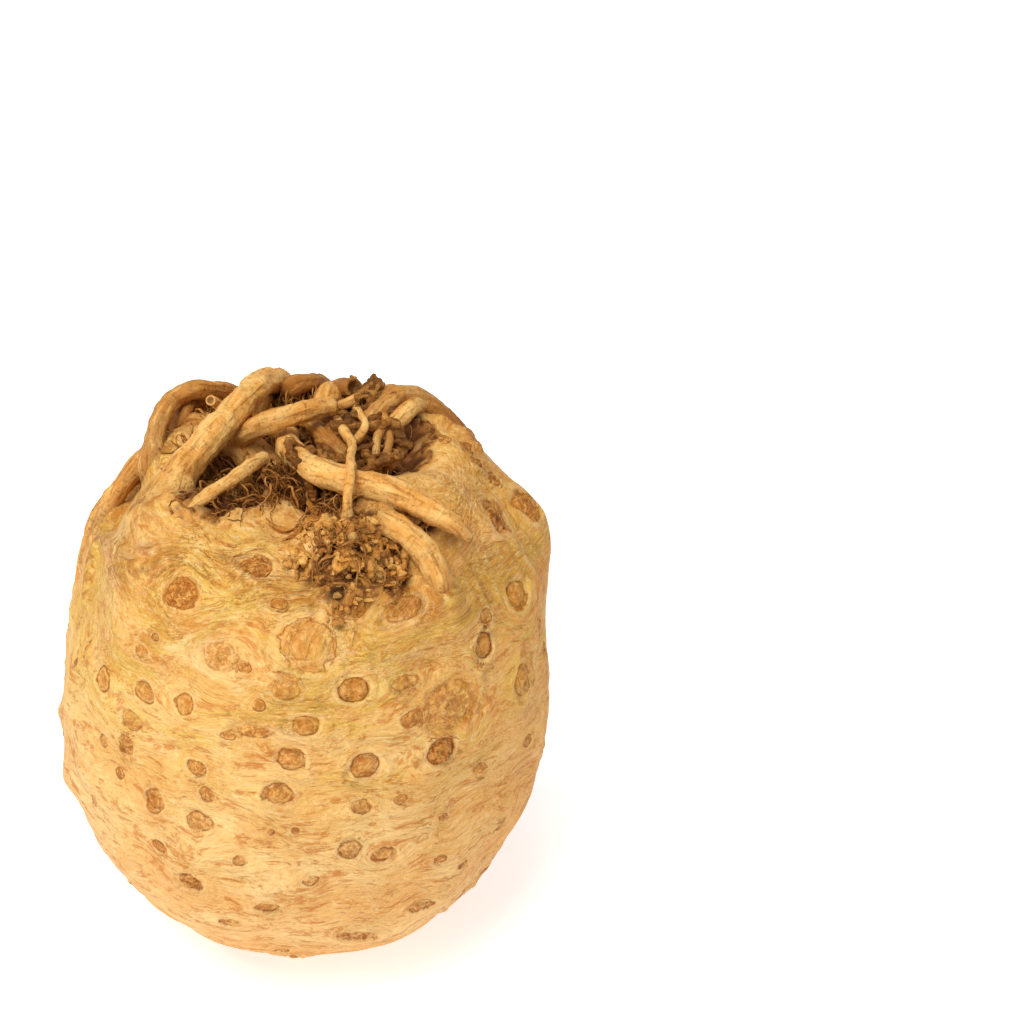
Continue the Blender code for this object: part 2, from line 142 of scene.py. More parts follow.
def on_skin(pixels, radius_of):
    """Where each line of sight first meets the bulb, or passes closest to it, found in steps of a quarter
    of a millimetre up to the point that is nearest the heart."""
    along = sight(pixels)
    nearest = -(along @ EYE)
    steps = np.linspace(-90.0, 0.0, 361)
    points = EYE + (nearest[:, None] + steps)[..., None] * along[:, None, :]
    flat = points.reshape(-1, 3)
    outside = (np.linalg.norm(flat, axis=1) - radius_of(unit(flat))).reshape(points.shape[:2])
    met = (outside < 0.0).any(axis=1)
    first = np.where(met, (outside < 0.0).argmax(axis=1), outside.argmin(axis=1))
    return points[np.arange(len(points)), first]


print("one pixel at the heart is", round(MM_PER_PIXEL, 4), "mm")

# %% [markdown]
# ## Camera
#
# The camera stands where the photograph was taken from: 35 degrees above the bulb and 0.7 m away. It
# aims past the bulb, to the upper right, because the bulb fills the lower left of the picture. Its sides
# stay level with the bulb's, and the last half percent of the lens and the pixel that the heart has to
# fall on were matched to the photograph.

# %% Camera
CAMERA_HEART = np.array([305.1, 689.65])
CAMERA_LENS_TRIM = 0.9958
SENSOR_WIDTH = 36.0


def set_up(name, data, side, back, place):
    """Adds an object at a place in metres, with `side` to its right, that looks away from `back`."""
    thing = bpy.data.objects.new(name, data)
    matrix = np.eye(4)
    matrix[:3] = np.column_stack([side, np.cross(back, side), back, place])
    thing.matrix_world = matrix.T
    bpy.context.scene.collection.objects.link(thing)
    return thing


def add_camera():
    """Aims at the middle of the picture. The lens follows from the width seen at the heart."""
    to_middle = (PICTURE_SIDE / 2 - CAMERA_HEART) * MM_PER_PIXEL
    ahead = unit(to_middle[0] * RIGHT - to_middle[1] * UP - EYE)
    side = unit(RIGHT - (RIGHT @ ahead) * ahead)
    data = bpy.data.cameras.new("camera")
    data.sensor_width = SENSOR_WIDTH
    data.lens = CAMERA_LENS_TRIM * SENSOR_WIDTH * PICTURE_DISTANCE / (PICTURE_SIDE * MM_PER_PIXEL)
    data.clip_start = 0.01
    bpy.context.scene.camera = set_up("camera", data, side, -ahead, (EYE + HEART) * MM)
    print("camera lens:", round(data.lens, 1), "mm")


add_camera()

# %% [markdown]
# ## The bulb's large shape
#
# The bulb is a barrel with rounded ends. Sculpting would give such a shape too, but a formula keeps it
# exact: for every direction from the heart it says how far away the skin is. Two superellipsoid halves
# meet at the waist, a hollow is pressed into the root end, and broad swellings are added where the
# photograph shows them.

# %% Barrel, swellings and hollow
BODY_WIDTH = 118.0
ROOT_END_REACH, LEAF_END_REACH = 72.0, 66.0
ROOT_END_SQUARENESS, LEAF_END_SQUARENESS = 2.25, 2.05
HOLLOW_MIDDLE = (-7.5, 1.5)
HOLLOW_REACH = (31.0, 39.0)
HOLLOW_DEPTH = 16.0
HOLLOW_HEIGHT = 60.0

# Pixel of the middle, then reach and height in millimetres.
LUMPS = [
    (548, 520, 8, 2.5), (440, 480, 14, 1.5), (400, 440, 10, -5.0), (404, 426, 7, -5.0),
    (392, 452, 8, -5.0), (258, 508, 8, 6.0), (215, 515, 7, 3.0), (62, 714, 4, 1.4), (70, 778, 4, 1.2),
    (150, 510, 15, 1.5), (116, 480, 13, -5.0), (215, 622, 10, -2.2), (150, 640, 16, 1.2),
    (307, 645, 9, 1.2), (448, 706, 10, -1.0), (300, 505, 8, 8.0), (345, 556, 7, 5.0), (240, 528, 9, 5.0),
    (430, 585, 10, 2.5), (395, 560, 6, -3.0), (468, 432, 15, 5.0), (550, 530, 15, 6.0),
    (548, 610, 15, -2.5), (548, 700, 15, -1.0), (480, 878, 15, -1.0), (395, 942, 15, 1.5),
    (190, 928, 15, 1.0), (110, 860, 15, 2.0), (63, 680, 15, -1.5), (84, 575, 15, -5.0),
]


def in_hollow(d):
    """1 over the floor of the hollow, falling to 0 at its oval lip. Its reach is measured level, at the
    lip's height above the heart. There is none in the leaf end's half."""
    level = HOLLOW_HEIGHT * d[:, :2] / np.maximum(d[:, 2:], 0.3)
    from_middle = np.linalg.norm((level - HOLLOW_MIDDLE) / HOLLOW_REACH, axis=1)
    return (d[:, 2] > 0.0) * (1.0 - ease((from_middle - 0.3) / 0.7))


def barrel(d):
    """The plain bulb's radius along each unit direction d: the superellipsoid
    1 / ((across / half width)^n + (up / reach)^n)^(1/n), less a bowl round the root end."""
    root_end = d[:, 2] > 0.0
    n = np.where(root_end, ROOT_END_SQUARENESS, LEAF_END_SQUARENESS)
    reach = np.where(root_end, ROOT_END_REACH, LEAF_END_REACH)
    across = np.hypot(d[:, 0], d[:, 1])
    radius = ((across / (BODY_WIDTH / 2)) ** n + (np.abs(d[:, 2]) / reach) ** n) ** (-1.0 / n)
    return radius - HOLLOW_DEPTH * in_hollow(d)


LUMP_WAYS = unit(on_skin([lump[:2] for lump in LUMPS], barrel))


def lumpy(d):
    """The barrel's radius with its broad swellings, dents and slow random waviness."""
    radius = barrel(d)
    ground = d * (BODY_WIDTH / 2)
    for way, (_, _, reach, height) in zip(LUMP_WAYS, LUMPS):
        radius = radius + height * bell(BODY_WIDTH / 2 * np.linalg.norm(d - way, axis=1) / reach)
    radius = radius + 0.8 * waves(ground, 46.0, SEED) + 0.5 * waves(ground, 19.0, SEED + 1)
    rough_floor = 2.4 * waves(ground, 13.0, SEED + 2) + 1.2 * waves(ground, 7.0, SEED + 3)
    return radius + in_hollow(d) * rough_floor


print("skin above the heart is", lumpy(np.array([[0.0, 0.0, 1.0]])).round(1)[0], "mm up")

# %% [markdown]
# ## Root scars
#
# Wherever a thin root broke off or withered, the skin closed over it in a ring: a raised rim, a groove
# and a crumbly middle. The ones that the photograph shows are listed by their pixel. The other sides get
# theirs by rule: random places that keep clear of each other, the small ones mostly towards the leaf
# end. Each scar also has two looks from 0 to 1: how dark its ring is and how dark its middle.

# %% Lists of scars
# Pixel of the middle, width and height in millimetres, dark ring, dark middle.
SCARS = [
    (257, 567, 7.5, 5.5, 0.6, 0.9), (181, 594, 8.0, 7.5, 0.6, 0.9), (221, 657, 8.5, 7.0, 0.35, 0.4),
    (307, 645, 14.0, 12.5, 0.65, 0.0), (351, 605, 9.0, 6.5, 0.6, 0.5), (404, 610, 9.5, 5.0, 0.5, 0.4),
    (484, 646, 6.0, 6.5, 1.0, 0.2), (518, 596, 8.0, 7.0, 0.6, 0.3), (524, 681, 8.0, 7.5, 0.6, 0.4),
    (353, 691, 7.5, 6.0, 0.9, 0.6), (305, 726, 6.5, 5.0, 0.7, 0.4), (291, 759, 6.5, 6.5, 0.7, 0.5),
    (440, 752, 8.0, 7.0, 0.95, 1.0), (365, 766, 7.5, 6.5, 0.8, 0.5), (277, 794, 7.5, 6.0, 0.6, 0.5),
    (104, 679, 6.0, 6.5, 0.9, 0.3), (146, 693, 6.0, 5.5, 0.7, 0.4), (133, 720, 6.0, 6.0, 0.4, 0.2),
    (128, 744, 5.5, 5.0, 0.5, 0.5), (156, 800, 5.5, 6.5, 0.6, 0.5), (201, 820, 6.5, 5.5, 0.5, 0.4),
    (191, 881, 6.5, 5.5, 0.6, 0.9), (349, 850, 6.0, 5.5, 0.6, 0.5), (383, 855, 6.5, 4.5, 0.7, 0.4),
    (357, 937, 10.0, 7.0, 0.4, 0.9), (452, 706, 16.0, 13.0, 0.1, 0.35), (496, 515, 10.0, 10.0, 0.4, 0.9),
    (528, 505, 8.0, 10.0, 0.4, 0.6),
]
SMALL_SCARS = [
    (185, 704, 5.0, 5.4, 0.6, 0.3), (87, 649, 2.6, 5.4, 0.7, 0.4), (76, 663, 1.8, 3.6, 0.6, 0.6),
    (197, 768, 5.0, 4.4, 0.6, 0.5), (207, 794, 3.4, 4.4, 0.5, 0.6), (122, 772, 3.0, 3.0, 0.5, 0.6),
    (361, 807, 5.0, 4.0, 0.5, 0.4), (267, 906, 6.0, 4.0, 0.6, 0.5), (420, 906, 7.0, 3.4, 0.6, 0.6),
    (498, 828, 5.4, 2.0, 0.6, 0.9), (462, 866, 3.4, 2.4, 0.4, 1.0), (442, 818, 3.0, 2.0, 0.6, 0.7),
    (528, 742, 4.0, 3.4, 0.6, 0.5), (412, 720, 6.0, 4.4, 0.5, 0.5), (259, 706, 3.4, 3.0, 0.6, 0.5),
    (279, 605, 4.0, 2.4, 0.5, 0.5), (156, 637, 2.4, 2.0, 0.6, 0.8), (142, 651, 4.0, 3.0, 0.4, 0.3),
    (228, 736, 4.0, 2.0, 0.6, 0.6), (255, 732, 9.0, 3.0, 0.2, 0.4), (245, 669, 3.4, 2.4, 0.5, 0.4),
    (271, 832, 2.0, 2.0, 0.5, 0.7), (295, 831, 2.0, 2.0, 0.5, 0.7), (486, 617, 5.0, 3.4, 0.5, 0.3),
    (540, 629, 2.4, 5.0, 0.6, 0.6), (544, 650, 2.0, 4.0, 0.6, 0.6), (405, 683, 8.5, 3.2, 0.4, 0.3),
    (285, 690, 7.0, 5.4, 0.3, 0.15), (445, 438, 5.0, 3.4, 0.4, 0.8), (466, 447, 4.0, 3.4, 0.4, 0.8),
    (478, 462, 4.4, 4.0, 0.5, 0.7), (495, 479, 4.4, 4.0, 0.5, 0.8), (310, 880, 4.0, 3.0, 0.5, 0.5),
    (240, 860, 3.6, 3.0, 0.5, 0.5), (440, 860, 3.6, 3.0, 0.5, 0.6), (230, 920, 5.0, 3.0, 0.5, 0.6),
    (400, 800, 3.6, 3.0, 0.4, 0.4), (480, 770, 4.0, 3.4, 0.5, 0.4), (96, 800, 3.0, 3.6, 0.5, 0.5),
    (105, 740, 3.0, 3.6, 0.5, 0.4), (160, 845, 4.4, 3.4, 0.5, 0.5),
]
DEEPEST_SCAR = 0.6
# How many far scars, their seed, their widths, how low one is for a width of 1, how many widths it keeps
# clear of others, how far round to the viewer they come, the lowest and highest place, from -1 to 1, and
# whether they crowd towards the leaf end.
FAR_LARGE = (46, 0, (5.0, 11.0), 0.65, 1.25, 0.05, (-0.86, 0.72), False)
FAR_SMALL = (110, 20, (1.8, 4.6), 0.6, 1.3, 0.12, (-0.9, 0.8), True)


def far_scars(taken, count, seed, widths, lowest, clear, seen_from, levels, leafward):
    """Ways, widths and heights of scars that the photograph doesn't show, clear of those taken."""
    rng = np.random.default_rng(SEED + seed)
    found = []
    towards_eye = unit(EYE)
    while len(found) < count:
        way = unit(rng.normal(size=3))
        width = rng.uniform(*widths)
        wanted = not leafward or rng.uniform() < 0.35 + 0.65 * ease(0.5 - way[2])
        hidden = way @ towards_eye <= seen_from and levels[0] <= way[2] <= levels[1]
        crowded = min(np.linalg.norm(way - other) for other in taken) * BODY_WIDTH / 2 < clear * width
        if wanted and hidden and not crowded:
            taken.append(way)
            found.append((way, width, width * rng.uniform(lowest, 0.95)))
    return found


def all_scars():
    """Every scar as its way, width, height, ring, middle. Looks of the far ones are drawn at random."""
    rng = np.random.default_rng(SEED + 21)
    seen = SCARS + SMALL_SCARS
    ways = unit(on_skin([scar[:2] for scar in seen], lumpy))
    large = far_scars([*ways[:len(SCARS)]], *FAR_LARGE)
    small = far_scars([*ways, *(scar[0] for scar in large)], *FAR_SMALL)
    looks = rng.uniform((0.35, 0.1), (1.0, 0.9), (len(large) + len(small), 2))
    near = [(way, *scar[2:]) for way, scar in zip(ways, seen)]
    return near + [(*scar, *look) for scar, look in zip(large + small, looks)]


ALL_SCARS = all_scars()
print(len(ALL_SCARS), "scars,", len(SCARS) + len(SMALL_SCARS), "of them in the photograph")

# %% [markdown]
# ## Paths of the roots
#
# A root is a tapered tube along a smooth path. The thick ones in the photograph are listed by name, with
# the pixel of each bend, how high it stands over the floor, and how thick the root is there. Most ends
# dip below the skin, so that a root grows out of the bulb and often back into it. The far side's roots
# and the rootlets follow rules with seeded draws.

# %% Thick roots, read from the photograph
# For each bend: its pixel, height above the floor and radius in millimetres.
FREE_ROOTS = {
    "main": [
        (147, 556, 108, 5.0), (158, 528, 116, 5.8), (169, 497, 121, 4.9), (183, 470, 124, 4.0),
        (202, 447, 127, 3.8), (225, 420, 130, 3.7), (247, 396, 131, 3.5), (263, 381, 130, 3.3),
        (276, 382, 124, 3.2), (284, 388, 115, 3.4),
    ],
    "left_arch": [
        (160, 480, 111, 3.0), (155, 459, 117, 3.5), (155, 438, 121, 2.6), (160, 418, 124, 2.5),
        (173, 400, 126, 2.5), (189, 391, 127, 2.4), (207, 389, 126, 2.4), (228, 393, 122, 2.4),
        (248, 402, 115, 2.6),
    ],
    "inner_arch": [
        (200, 386, 121, 1.9), (190, 398, 123, 2.1), (181, 420, 121, 2.1), (172, 445, 113, 2.4),
    ],
    "behind_arch": [
        (166, 432, 110, 2.6), (176, 414, 118, 2.8), (190, 405, 121, 2.7), (206, 402, 120, 2.6),
        (222, 404, 114, 2.6),
    ],
    "outer_left": [
        (77, 612, 71, 1.3), (80, 590, 74, 1.6), (85, 560, 82, 1.6), (89, 540, 88, 1.6),
        (92, 524, 93, 1.6), (100, 510, 98, 1.7), (112, 496, 103, 1.9), (124, 481, 107, 2.0),
        (133, 467, 110, 2.0), (148, 452, 113, 2.0), (165, 442, 112, 2.0),
    ],
    "short_front": [
        (192, 550, 114, 1.3), (188, 532, 119, 1.3), (187, 517, 123, 1.6), (197, 505, 126, 1.6),
        (224, 484, 129, 1.5), (250, 466, 130, 1.5), (264, 458, 129, 1.7),
    ],
    "cross": [
        (218, 452, 113, 2.6), (233, 438, 123, 3.0), (256, 427, 128, 2.6), (283, 418, 131, 2.6),
        (310, 409, 132, 2.5), (331, 405, 131, 2.4),
    ],
    "long_front": [
        (298, 418, 112, 2.3), (287, 432, 120, 2.6), (291, 452, 126, 3.1), (311, 468, 129, 3.2),
        (335, 477, 130, 3.3), (362, 484, 130, 3.4), (400, 496, 130, 3.3), (431, 510, 128, 2.8),
        (452, 524, 125, 2.1), (470, 538, 119, 1.0),
    ],
    "right_front": [
        (366, 517, 124, 2.3), (386, 523, 126, 2.7), (408, 536, 125, 3.0), (425, 553, 121, 3.2),
        (435, 574, 117, 3.1), (441, 597, 111, 2.8), (447, 620, 104, 2.4),
    ],
    "back_knob": [
        (286, 408, 112, 4.2), (292, 396, 122, 3.4), (297, 384, 128, 2.8), (306, 382, 128, 2.4),
        (318, 388, 120, 3.0),
    ],
    "back_stub": [
        (318, 400, 112, 3.8), (332, 394, 122, 3.0), (345, 388, 128, 2.6), (354, 387, 130, 2.4),
    ],
    "back_splinter": [
        (268, 396, 116, 3.0), (262, 400, 124, 2.4), (254, 408, 128, 1.9), (247, 416, 129, 1.5),
    ],
    "nub": [
        (224, 410, 126, 1.3), (215, 403, 129, 1.2), (210, 400, 131, 1.1),
    ],
    "strand": [
        (336, 407, 126, 1.3), (350, 401, 130, 1.3), (362, 395, 130, 1.2), (375, 390, 126, 1.5),
    ],
    "net_short": [
        (352, 404, 127, 1.1), (359, 412, 130, 1.0), (364, 428, 130, 1.0), (356, 441, 127, 1.1),
    ],
    "net_main": [
        (329, 408, 124, 1.2), (341, 426, 128, 1.1), (352, 446, 131, 1.1), (350, 460, 133, 1.1),
        (351, 474, 134, 1.1), (348, 491, 133, 1.1), (347, 507, 130, 1.2), (347, 525, 126, 1.8),
        (355, 544, 118, 1.8),
    ],
    "net_thick": [
        (302, 412, 118, 2.0), (314, 426, 124, 2.2), (331, 442, 126, 2.0), (348, 454, 125, 1.6),
    ],
    "net_right": [
        (360, 402, 125, 1.1), (374, 410, 128, 1.1), (386, 422, 128, 1.1), (378, 434, 127, 1.0),
        (376, 455, 124, 1.1), (380, 470, 118, 1.2),
    ],
    "net_far_right": [
        (384, 422, 126, 1.0), (390, 438, 126, 1.0), (386, 458, 123, 1.0), (392, 474, 117, 1.2),
    ],
}
# The same, but with the lift above the skin in place of the height.
CLINGING_ROOTS = {
    "right_ridge": [
        (362, 402, -1.6, 2.2), (384, 400, 0.9, 2.7), (411, 405, 1.2, 2.9), (436, 416, 1.0, 2.7),
        (456, 428, 0.2, 2.2), (474, 445, -1.2, 1.8),
    ],
    "shoulder_loop": [
        (104, 538, -0.6, 1.2), (118, 553, 0.3, 1.5), (142, 559, 0.3, 1.5), (163, 554, -0.8, 1.2),
    ],
    "shoulder_line": [
        (112, 572, -0.8, 1.0), (135, 571, 0.1, 1.2), (156, 566, 0.1, 1.2), (170, 558, -0.8, 1.0),
    ],
    "shoulder_edge": [
        (90, 600, -0.8, 1.0), (93, 570, 0.1, 1.1), (100, 545, 0.1, 1.2), (118, 512, -0.6, 1.2),
    ],
    "brow_line": [
        (222, 562, -1.0, 0.9), (262, 589, -0.4, 1.1), (318, 596, -0.4, 1.1), (368, 590, -0.4, 1.1),
        (412, 600, -1.0, 0.9),
    ],
}

# %% Paths as arrays
BACK_ROOTS = 7
BACK_BEARINGS = (126.0, 228.0)
ROOTLETS = 22
ROOTLET_RADIUS = 1.05
ROOTLETS_MIDDLE = (5.0, 8.0)
ROOTLETS_REACH = (9.0, 12.0)


def smooth_path(knots, spacing):
    """Points about `spacing` apart on a smooth curve through the knots: cubic pieces whose slopes at
    the knots follow their neighbours. The radius is the fourth number of each point."""
    knots = np.asarray(knots, float)
    at = np.append(0.0, np.cumsum(np.linalg.norm(np.diff(knots[:, :3], axis=0), axis=1)))
    slope = np.gradient(knots, at, axis=0)
    along = np.linspace(0.0, at[-1], int(max(6, at[-1] / spacing)) + 1)
    i = np.clip(np.searchsorted(at, along, side="right") - 1, 0, len(at) - 2)
    span = (at[i + 1] - at[i])[:, None]
    t = (along - at[i])[:, None] / span
    start = (2 * t**3 - 3 * t**2 + 1) * knots[i] + (t**3 - 2 * t**2 + t) * span * slope[i]
    end = (3 * t**2 - 2 * t**3) * knots[i + 1] + (t**3 - t**2) * span * slope[i + 1]
    return start + end


def free_roots():
    """Knots of the thick roots."""
    for points in FREE_ROOTS.values():
        points = np.array(points, float)
        yield np.column_stack([at_height(points[:, :2], points[:, 2]), points[:, 3]])


def clinging_roots():
    """Knots of the roots that have half grown into the skin."""
    for points in CLINGING_ROOTS.values():
        points = np.array(points, float)
        skin = on_skin(points[:, :2], lumpy)
        yield np.column_stack([skin + unit(skin) * points[:, 2:3], points[:, 3]])


def around(bearing, out, up):
    """A point at this bearing from the viewer's side, this far from the axis and above the heart."""
    return [out * sin(bearing), -out * cos(bearing), up]


def back_roots():
    """Knots of the far side's roots: each leaves the hollow, crosses its lip and lies down the shoulder."""
    rng = np.random.default_rng(SEED + 5)
    for i in range(BACK_ROOTS):
        bearing = radians(np.interp(i + rng.uniform(-0.3, 0.3), (0, BACK_ROOTS - 1), BACK_BEARINGS))
        swing = radians(rng.uniform(-26, 26))
        thick = rng.uniform(1.7, 3.1)
        reach = rng.uniform(0.45, 1.0)
        ways = unit(np.array([
            around(bearing, 16, 60),
            around(bearing + 0.2 * swing, 30, 62),
            around(bearing + 0.6 * swing, 42, 54),
            around(bearing + swing, 52, 54 - 24 * reach),
            around(bearing + 1.3 * swing, 58, 50 - 44 * reach),
        ]))
        lifts = np.array([-2.0, 3.2, 1.6, 0.5, -1.2])
        widths = np.array([1.2, 1.1, 1.0, 0.75, 0.45])
        yield np.column_stack([ways * (lumpy(ways) + lifts)[:, None], thick * widths])


def rootlets():
    """Knots of the stronger rootlets: each bows up out of the hollow's floor and down into it again."""
    rng = np.random.default_rng(SEED + 6)
    for _ in range(ROOTLETS):
        middle = rng.uniform(-1.0, 1.0, 2) * ROOTLETS_REACH + ROOTLETS_MIDDLE
        bearing = rng.uniform(0.0, 2.0 * pi)
        span = rng.uniform(6.0, 12.0)
        along = np.linspace(-span, span, 5)
        sway = rng.uniform(-4.0, 4.0, 5)
        x = middle[0] + along * cos(bearing) - sway * sin(bearing)
        y = middle[1] + along * sin(bearing) + sway * cos(bearing)
        ways = unit(np.column_stack([x, y, np.full(5, HOLLOW_HEIGHT)]))
        lifts = np.array([-2.5, *rng.uniform(2.0, 7.0, 3), -2.5])
        radii = ROOTLET_RADIUS * rng.uniform(0.8, 1.4) * np.ones(5)
        yield np.column_stack([ways * (lumpy(ways) + lifts)[:, None], radii])


ROOT_PATHS = {
    "thick": [smooth_path(knots, spacing=0.7) for knots in free_roots()],
    "back": [smooth_path(knots, spacing=0.8) for knots in back_roots()],
    "clinging": [smooth_path(knots, spacing=0.6) for knots in clinging_roots()],
    "rootlet": [smooth_path(knots, spacing=0.8) for knots in rootlets()],
}
print({kind: len(paths) for kind, paths in ROOT_PATHS.items()})

# %% [markdown]
# ## The bulb's skin as a mesh
#
# A ball made of rings would pinch at its poles, and the root end is exactly where we look. So the skin
# starts as a cube whose six faces are square grids, blown up to a ball: even squares all over, no poles.
# Each corner of a square is one direction from the heart, and the formulas above give its distance.
#
# Fine relief is added on top: scars, torn places, and wrinkles along the flow of the skin. The flow is
# simply the height, bent round each scar, so wrinkles and colour bands part at a scar as the grain of
# wood does at a knot.

# %% A ball of even squares
def ball(n):
    """Unit directions and outward quads of a cube's six n by n grids, blown up so that squares stay even:
    each cube coordinate t between -1 and 1 becomes tan(t pi / 4)."""
    row, column = np.meshgrid(np.arange(n + 1), np.arange(n + 1), indexing="ij")
    corners, quads = [], []
    for axis in range(3):
        for side in (0, n):
            c = np.empty((n + 1, n + 1, 3), int)
            c[..., axis], c[..., (axis + 1) % 3], c[..., (axis + 2) % 3] = side, row, column
            index = np.arange((n + 1) ** 2).reshape(n + 1, n + 1) + len(corners) * (n + 1) ** 2
            quad = np.stack([index[:-1, :-1], index[1:, :-1], index[1:, 1:], index[:-1, 1:]], -1)
            quads.append((quad if side else quad[..., ::-1]).reshape(-1, 4))
            corners.append(c.reshape(-1, 3))
    corners, which = np.unique(np.vstack(corners), axis=0, return_inverse=True)
    return unit(np.tan((corners / n * 2.0 - 1.0) * pi / 4)), which.ravel()[np.vstack(quads)]


def store(mesh, **attributes):
    """Gives a mesh attributes of three numbers a point, which the materials read, and smooths it."""
    for label, values in attributes.items():
        old = mesh.attributes.get(label)
        if old:
            mesh.attributes.remove(old)
        layer = mesh.attributes.new(label, "FLOAT_VECTOR", "POINT")
        layer.data.foreach_set("vector", np.asarray(values, np.float32).ravel())
    mesh.shade_smooth()


def add_piece(name, points, quads, caps=(), **attributes):
    """A mesh object at the origin. Points are millimetres from the heart."""
    mesh = bpy.data.meshes.new(name)
    mesh.from_pydata((points + HEART) * MM, [], quads.tolist() + list(caps))
    store(mesh, **attributes)
    piece = bpy.data.objects.new(name, mesh)
    bpy.context.scene.collection.objects.link(piece)
    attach(piece, "root")
    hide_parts("celeriac_root")
    print(name, "has", len(points), "points")
    return piece


# %% Distances to roots and scars
FAR_FROM_SCARS = 9.0


def gap_to_roots(points):
    """How far each point is from the nearest root's surface, in whole arrays of a few thousand points."""
    samples = np.vstack([path[::3] for kind in ("thick", "back", "clinging") for path in ROOT_PATHS[kind]])
    gap = np.empty(len(points))
    for start in range(0, len(points), 4000):
        some = slice(start, start + 4000)
        away = np.linalg.norm(points[some, None] - samples[None, :, :3], axis=2) - samples[:, 3]
        gap[some] = away.min(axis=1)
    return gap


def each_scar(points, reach):
    """For each scar: which points lie within `reach` widths of its middle, their place across and over
    it, where 1 is its edge, and its width, height and two looks."""
    for way, width, height, ring, middle in ALL_SCARS:
        gap = points - way * lumpy(way[None])[0]
        near = np.flatnonzero(np.linalg.norm(gap, axis=1) < reach * width)
        level = unit(np.array([-way[1], way[0], 0.0]))
        across, over = gap[near] @ level, gap[near] @ np.cross(way, level)
        yield near, across / (width / 2), over / (height / 2), width, height, ring, middle


def scar_places(points):
    """For each point: its place within the nearest scar, across and over, and its distance from that
    scar's middle, where 1 is the scar's edge. Then the scar's looks and width, and how much the scars
    bend the flow there, in millimetres of height."""
    place = np.full((len(points), 3), FAR_FROM_SCARS)
    looks = np.zeros((len(points), 3))
    bend = np.zeros(len(points))
    for near, across, over, width, height, ring, middle in each_scar(points, reach=2.6):
        q = np.hypot(across, over)
        bend[near] -= over * height / 2 * 0.85 * bell(q / 1.8)
        closer = q < place[near, 2]
        mine = near[closer]
        place[mine] = np.column_stack([across, over, q])[closer]
        looks[mine] = ring, middle, min(width, 12.0)
    return place, looks, bend


# %% The skin's relief
# Squares along each of the ball's six faces, and how far from a root the skin starts to rise to it.
SKIN_SQUARES = 128
FILLET = 3.4
# Where the skin is torn and crumbly below the hollow: pixel of the middle and reach in millimetres.
CRUMBLY = [(352, 545, 11), (328, 524, 7), (380, 570, 7), (420, 520, 4)]
# Torn skin beside the net and where the mat reaches the lip, painted dark: painted shadow on torn brown
# skin.
SHADOWED_TORN = [(399, 440, 6), (397, 468, 5), (212, 503, 4), (236, 496, 4)]
# Where the hollow's lip swells up with whole skin on it.
SWELLING = [(258, 524, 6), (284, 516, 7), (300, 534, 5)]


def scar_relief(d):
    """Raised rim, groove, low dome and crumbs of each scar, as bells over the distance from its middle.
    The distance wobbles, so that no scar is a true oval."""
    radius = lumpy(d)
    points = d * radius[:, None]
    wobble = 0.22 * waves(points, 6.5, SEED + 31)
    coarse, grit = waves(points, 3.0, SEED + 30), waves(points, 1.7, SEED + 32)
    for near, across, over, width, height, _, middle in each_scar(points, reach=1.7):
        q = np.hypot(across, over) * (1.0 + wobble[near])
        depth = min(0.05 * (width + height), DEEPEST_SCAR)
        crumbs = (0.45 + 0.5 * middle) * bell(q / 0.7) * (coarse[near] + 0.6 * grit[near])
        rim, groove, dome = bell((q - 1.22) / 0.22), bell((q - 0.88) / 0.17), bell(q / 0.5)
        radius[near] += depth * (0.9 * rim - 1.2 * groove + 0.25 * dome + crumbs)
    return radius


def wrinkles(points, bend, d):
    """Folds that run round the bulb, and over its right shoulder run down from the root end instead.
    Waves are squeezed along the flow; creases are the narrow valleys where a wave passes zero. The
    brow below the root end has the most of them and the leaf end's half the fewest."""
    warp = np.column_stack([waves(points, 17.0, SEED + 40 + i) for i in range(3)])
    flow = points + np.column_stack([np.zeros((len(points), 2)), bend]) + [2.0, 2.0, 1.1] * warp
    level = flow * [0.2, 0.2, 1.0]
    turned = np.column_stack([unit(points[:, :2] + 1e-6) * 60.0, points[:, 2] * 0.2]) + 0.8 * warp
    shoulder = ease((d[:, 2] - 0.35) / 0.35) * ease((d[:, 0] - 0.3) / 0.35)
    brow = ease((points[:, 2] - 24.0) / 32.0)
    patchy = (0.35 + 0.65 * brow) * ease(0.5 + 0.6 * waves(points, 26.0, SEED + 8))
    folds, creases = np.zeros(len(points)), np.zeros(len(points))
    for size, depth, seed in ((8.0, 0.34, 9), (4.2, 0.2, 10), (2.4, 0.12, 11)):
        around_it, down_it = (waves(way, size, SEED + seed) for way in (level, turned))
        wave = (1.0 - shoulder) * around_it + shoulder * down_it
        folds += depth * (0.3 + 0.9 * patchy) * wave
        creases += depth * patchy * bell(wave / 0.28)
    return folds - 0.7 * creases, creases, flow


def near_pixel(d, x, y, reach):
    """1 where the sight line through this pixel meets the skin, 0 beyond about twice the reach."""
    middle = unit(on_skin([(x, y)], lumpy))[0]
    return bell(BODY_WIDTH / 2 * np.linalg.norm(d - middle, axis=1) / reach)


def zone(d, places):
    """1 in the middle of any of these places, 0 away from all of them."""
    return np.max([near_pixel(d, *place) for place in places], axis=0)


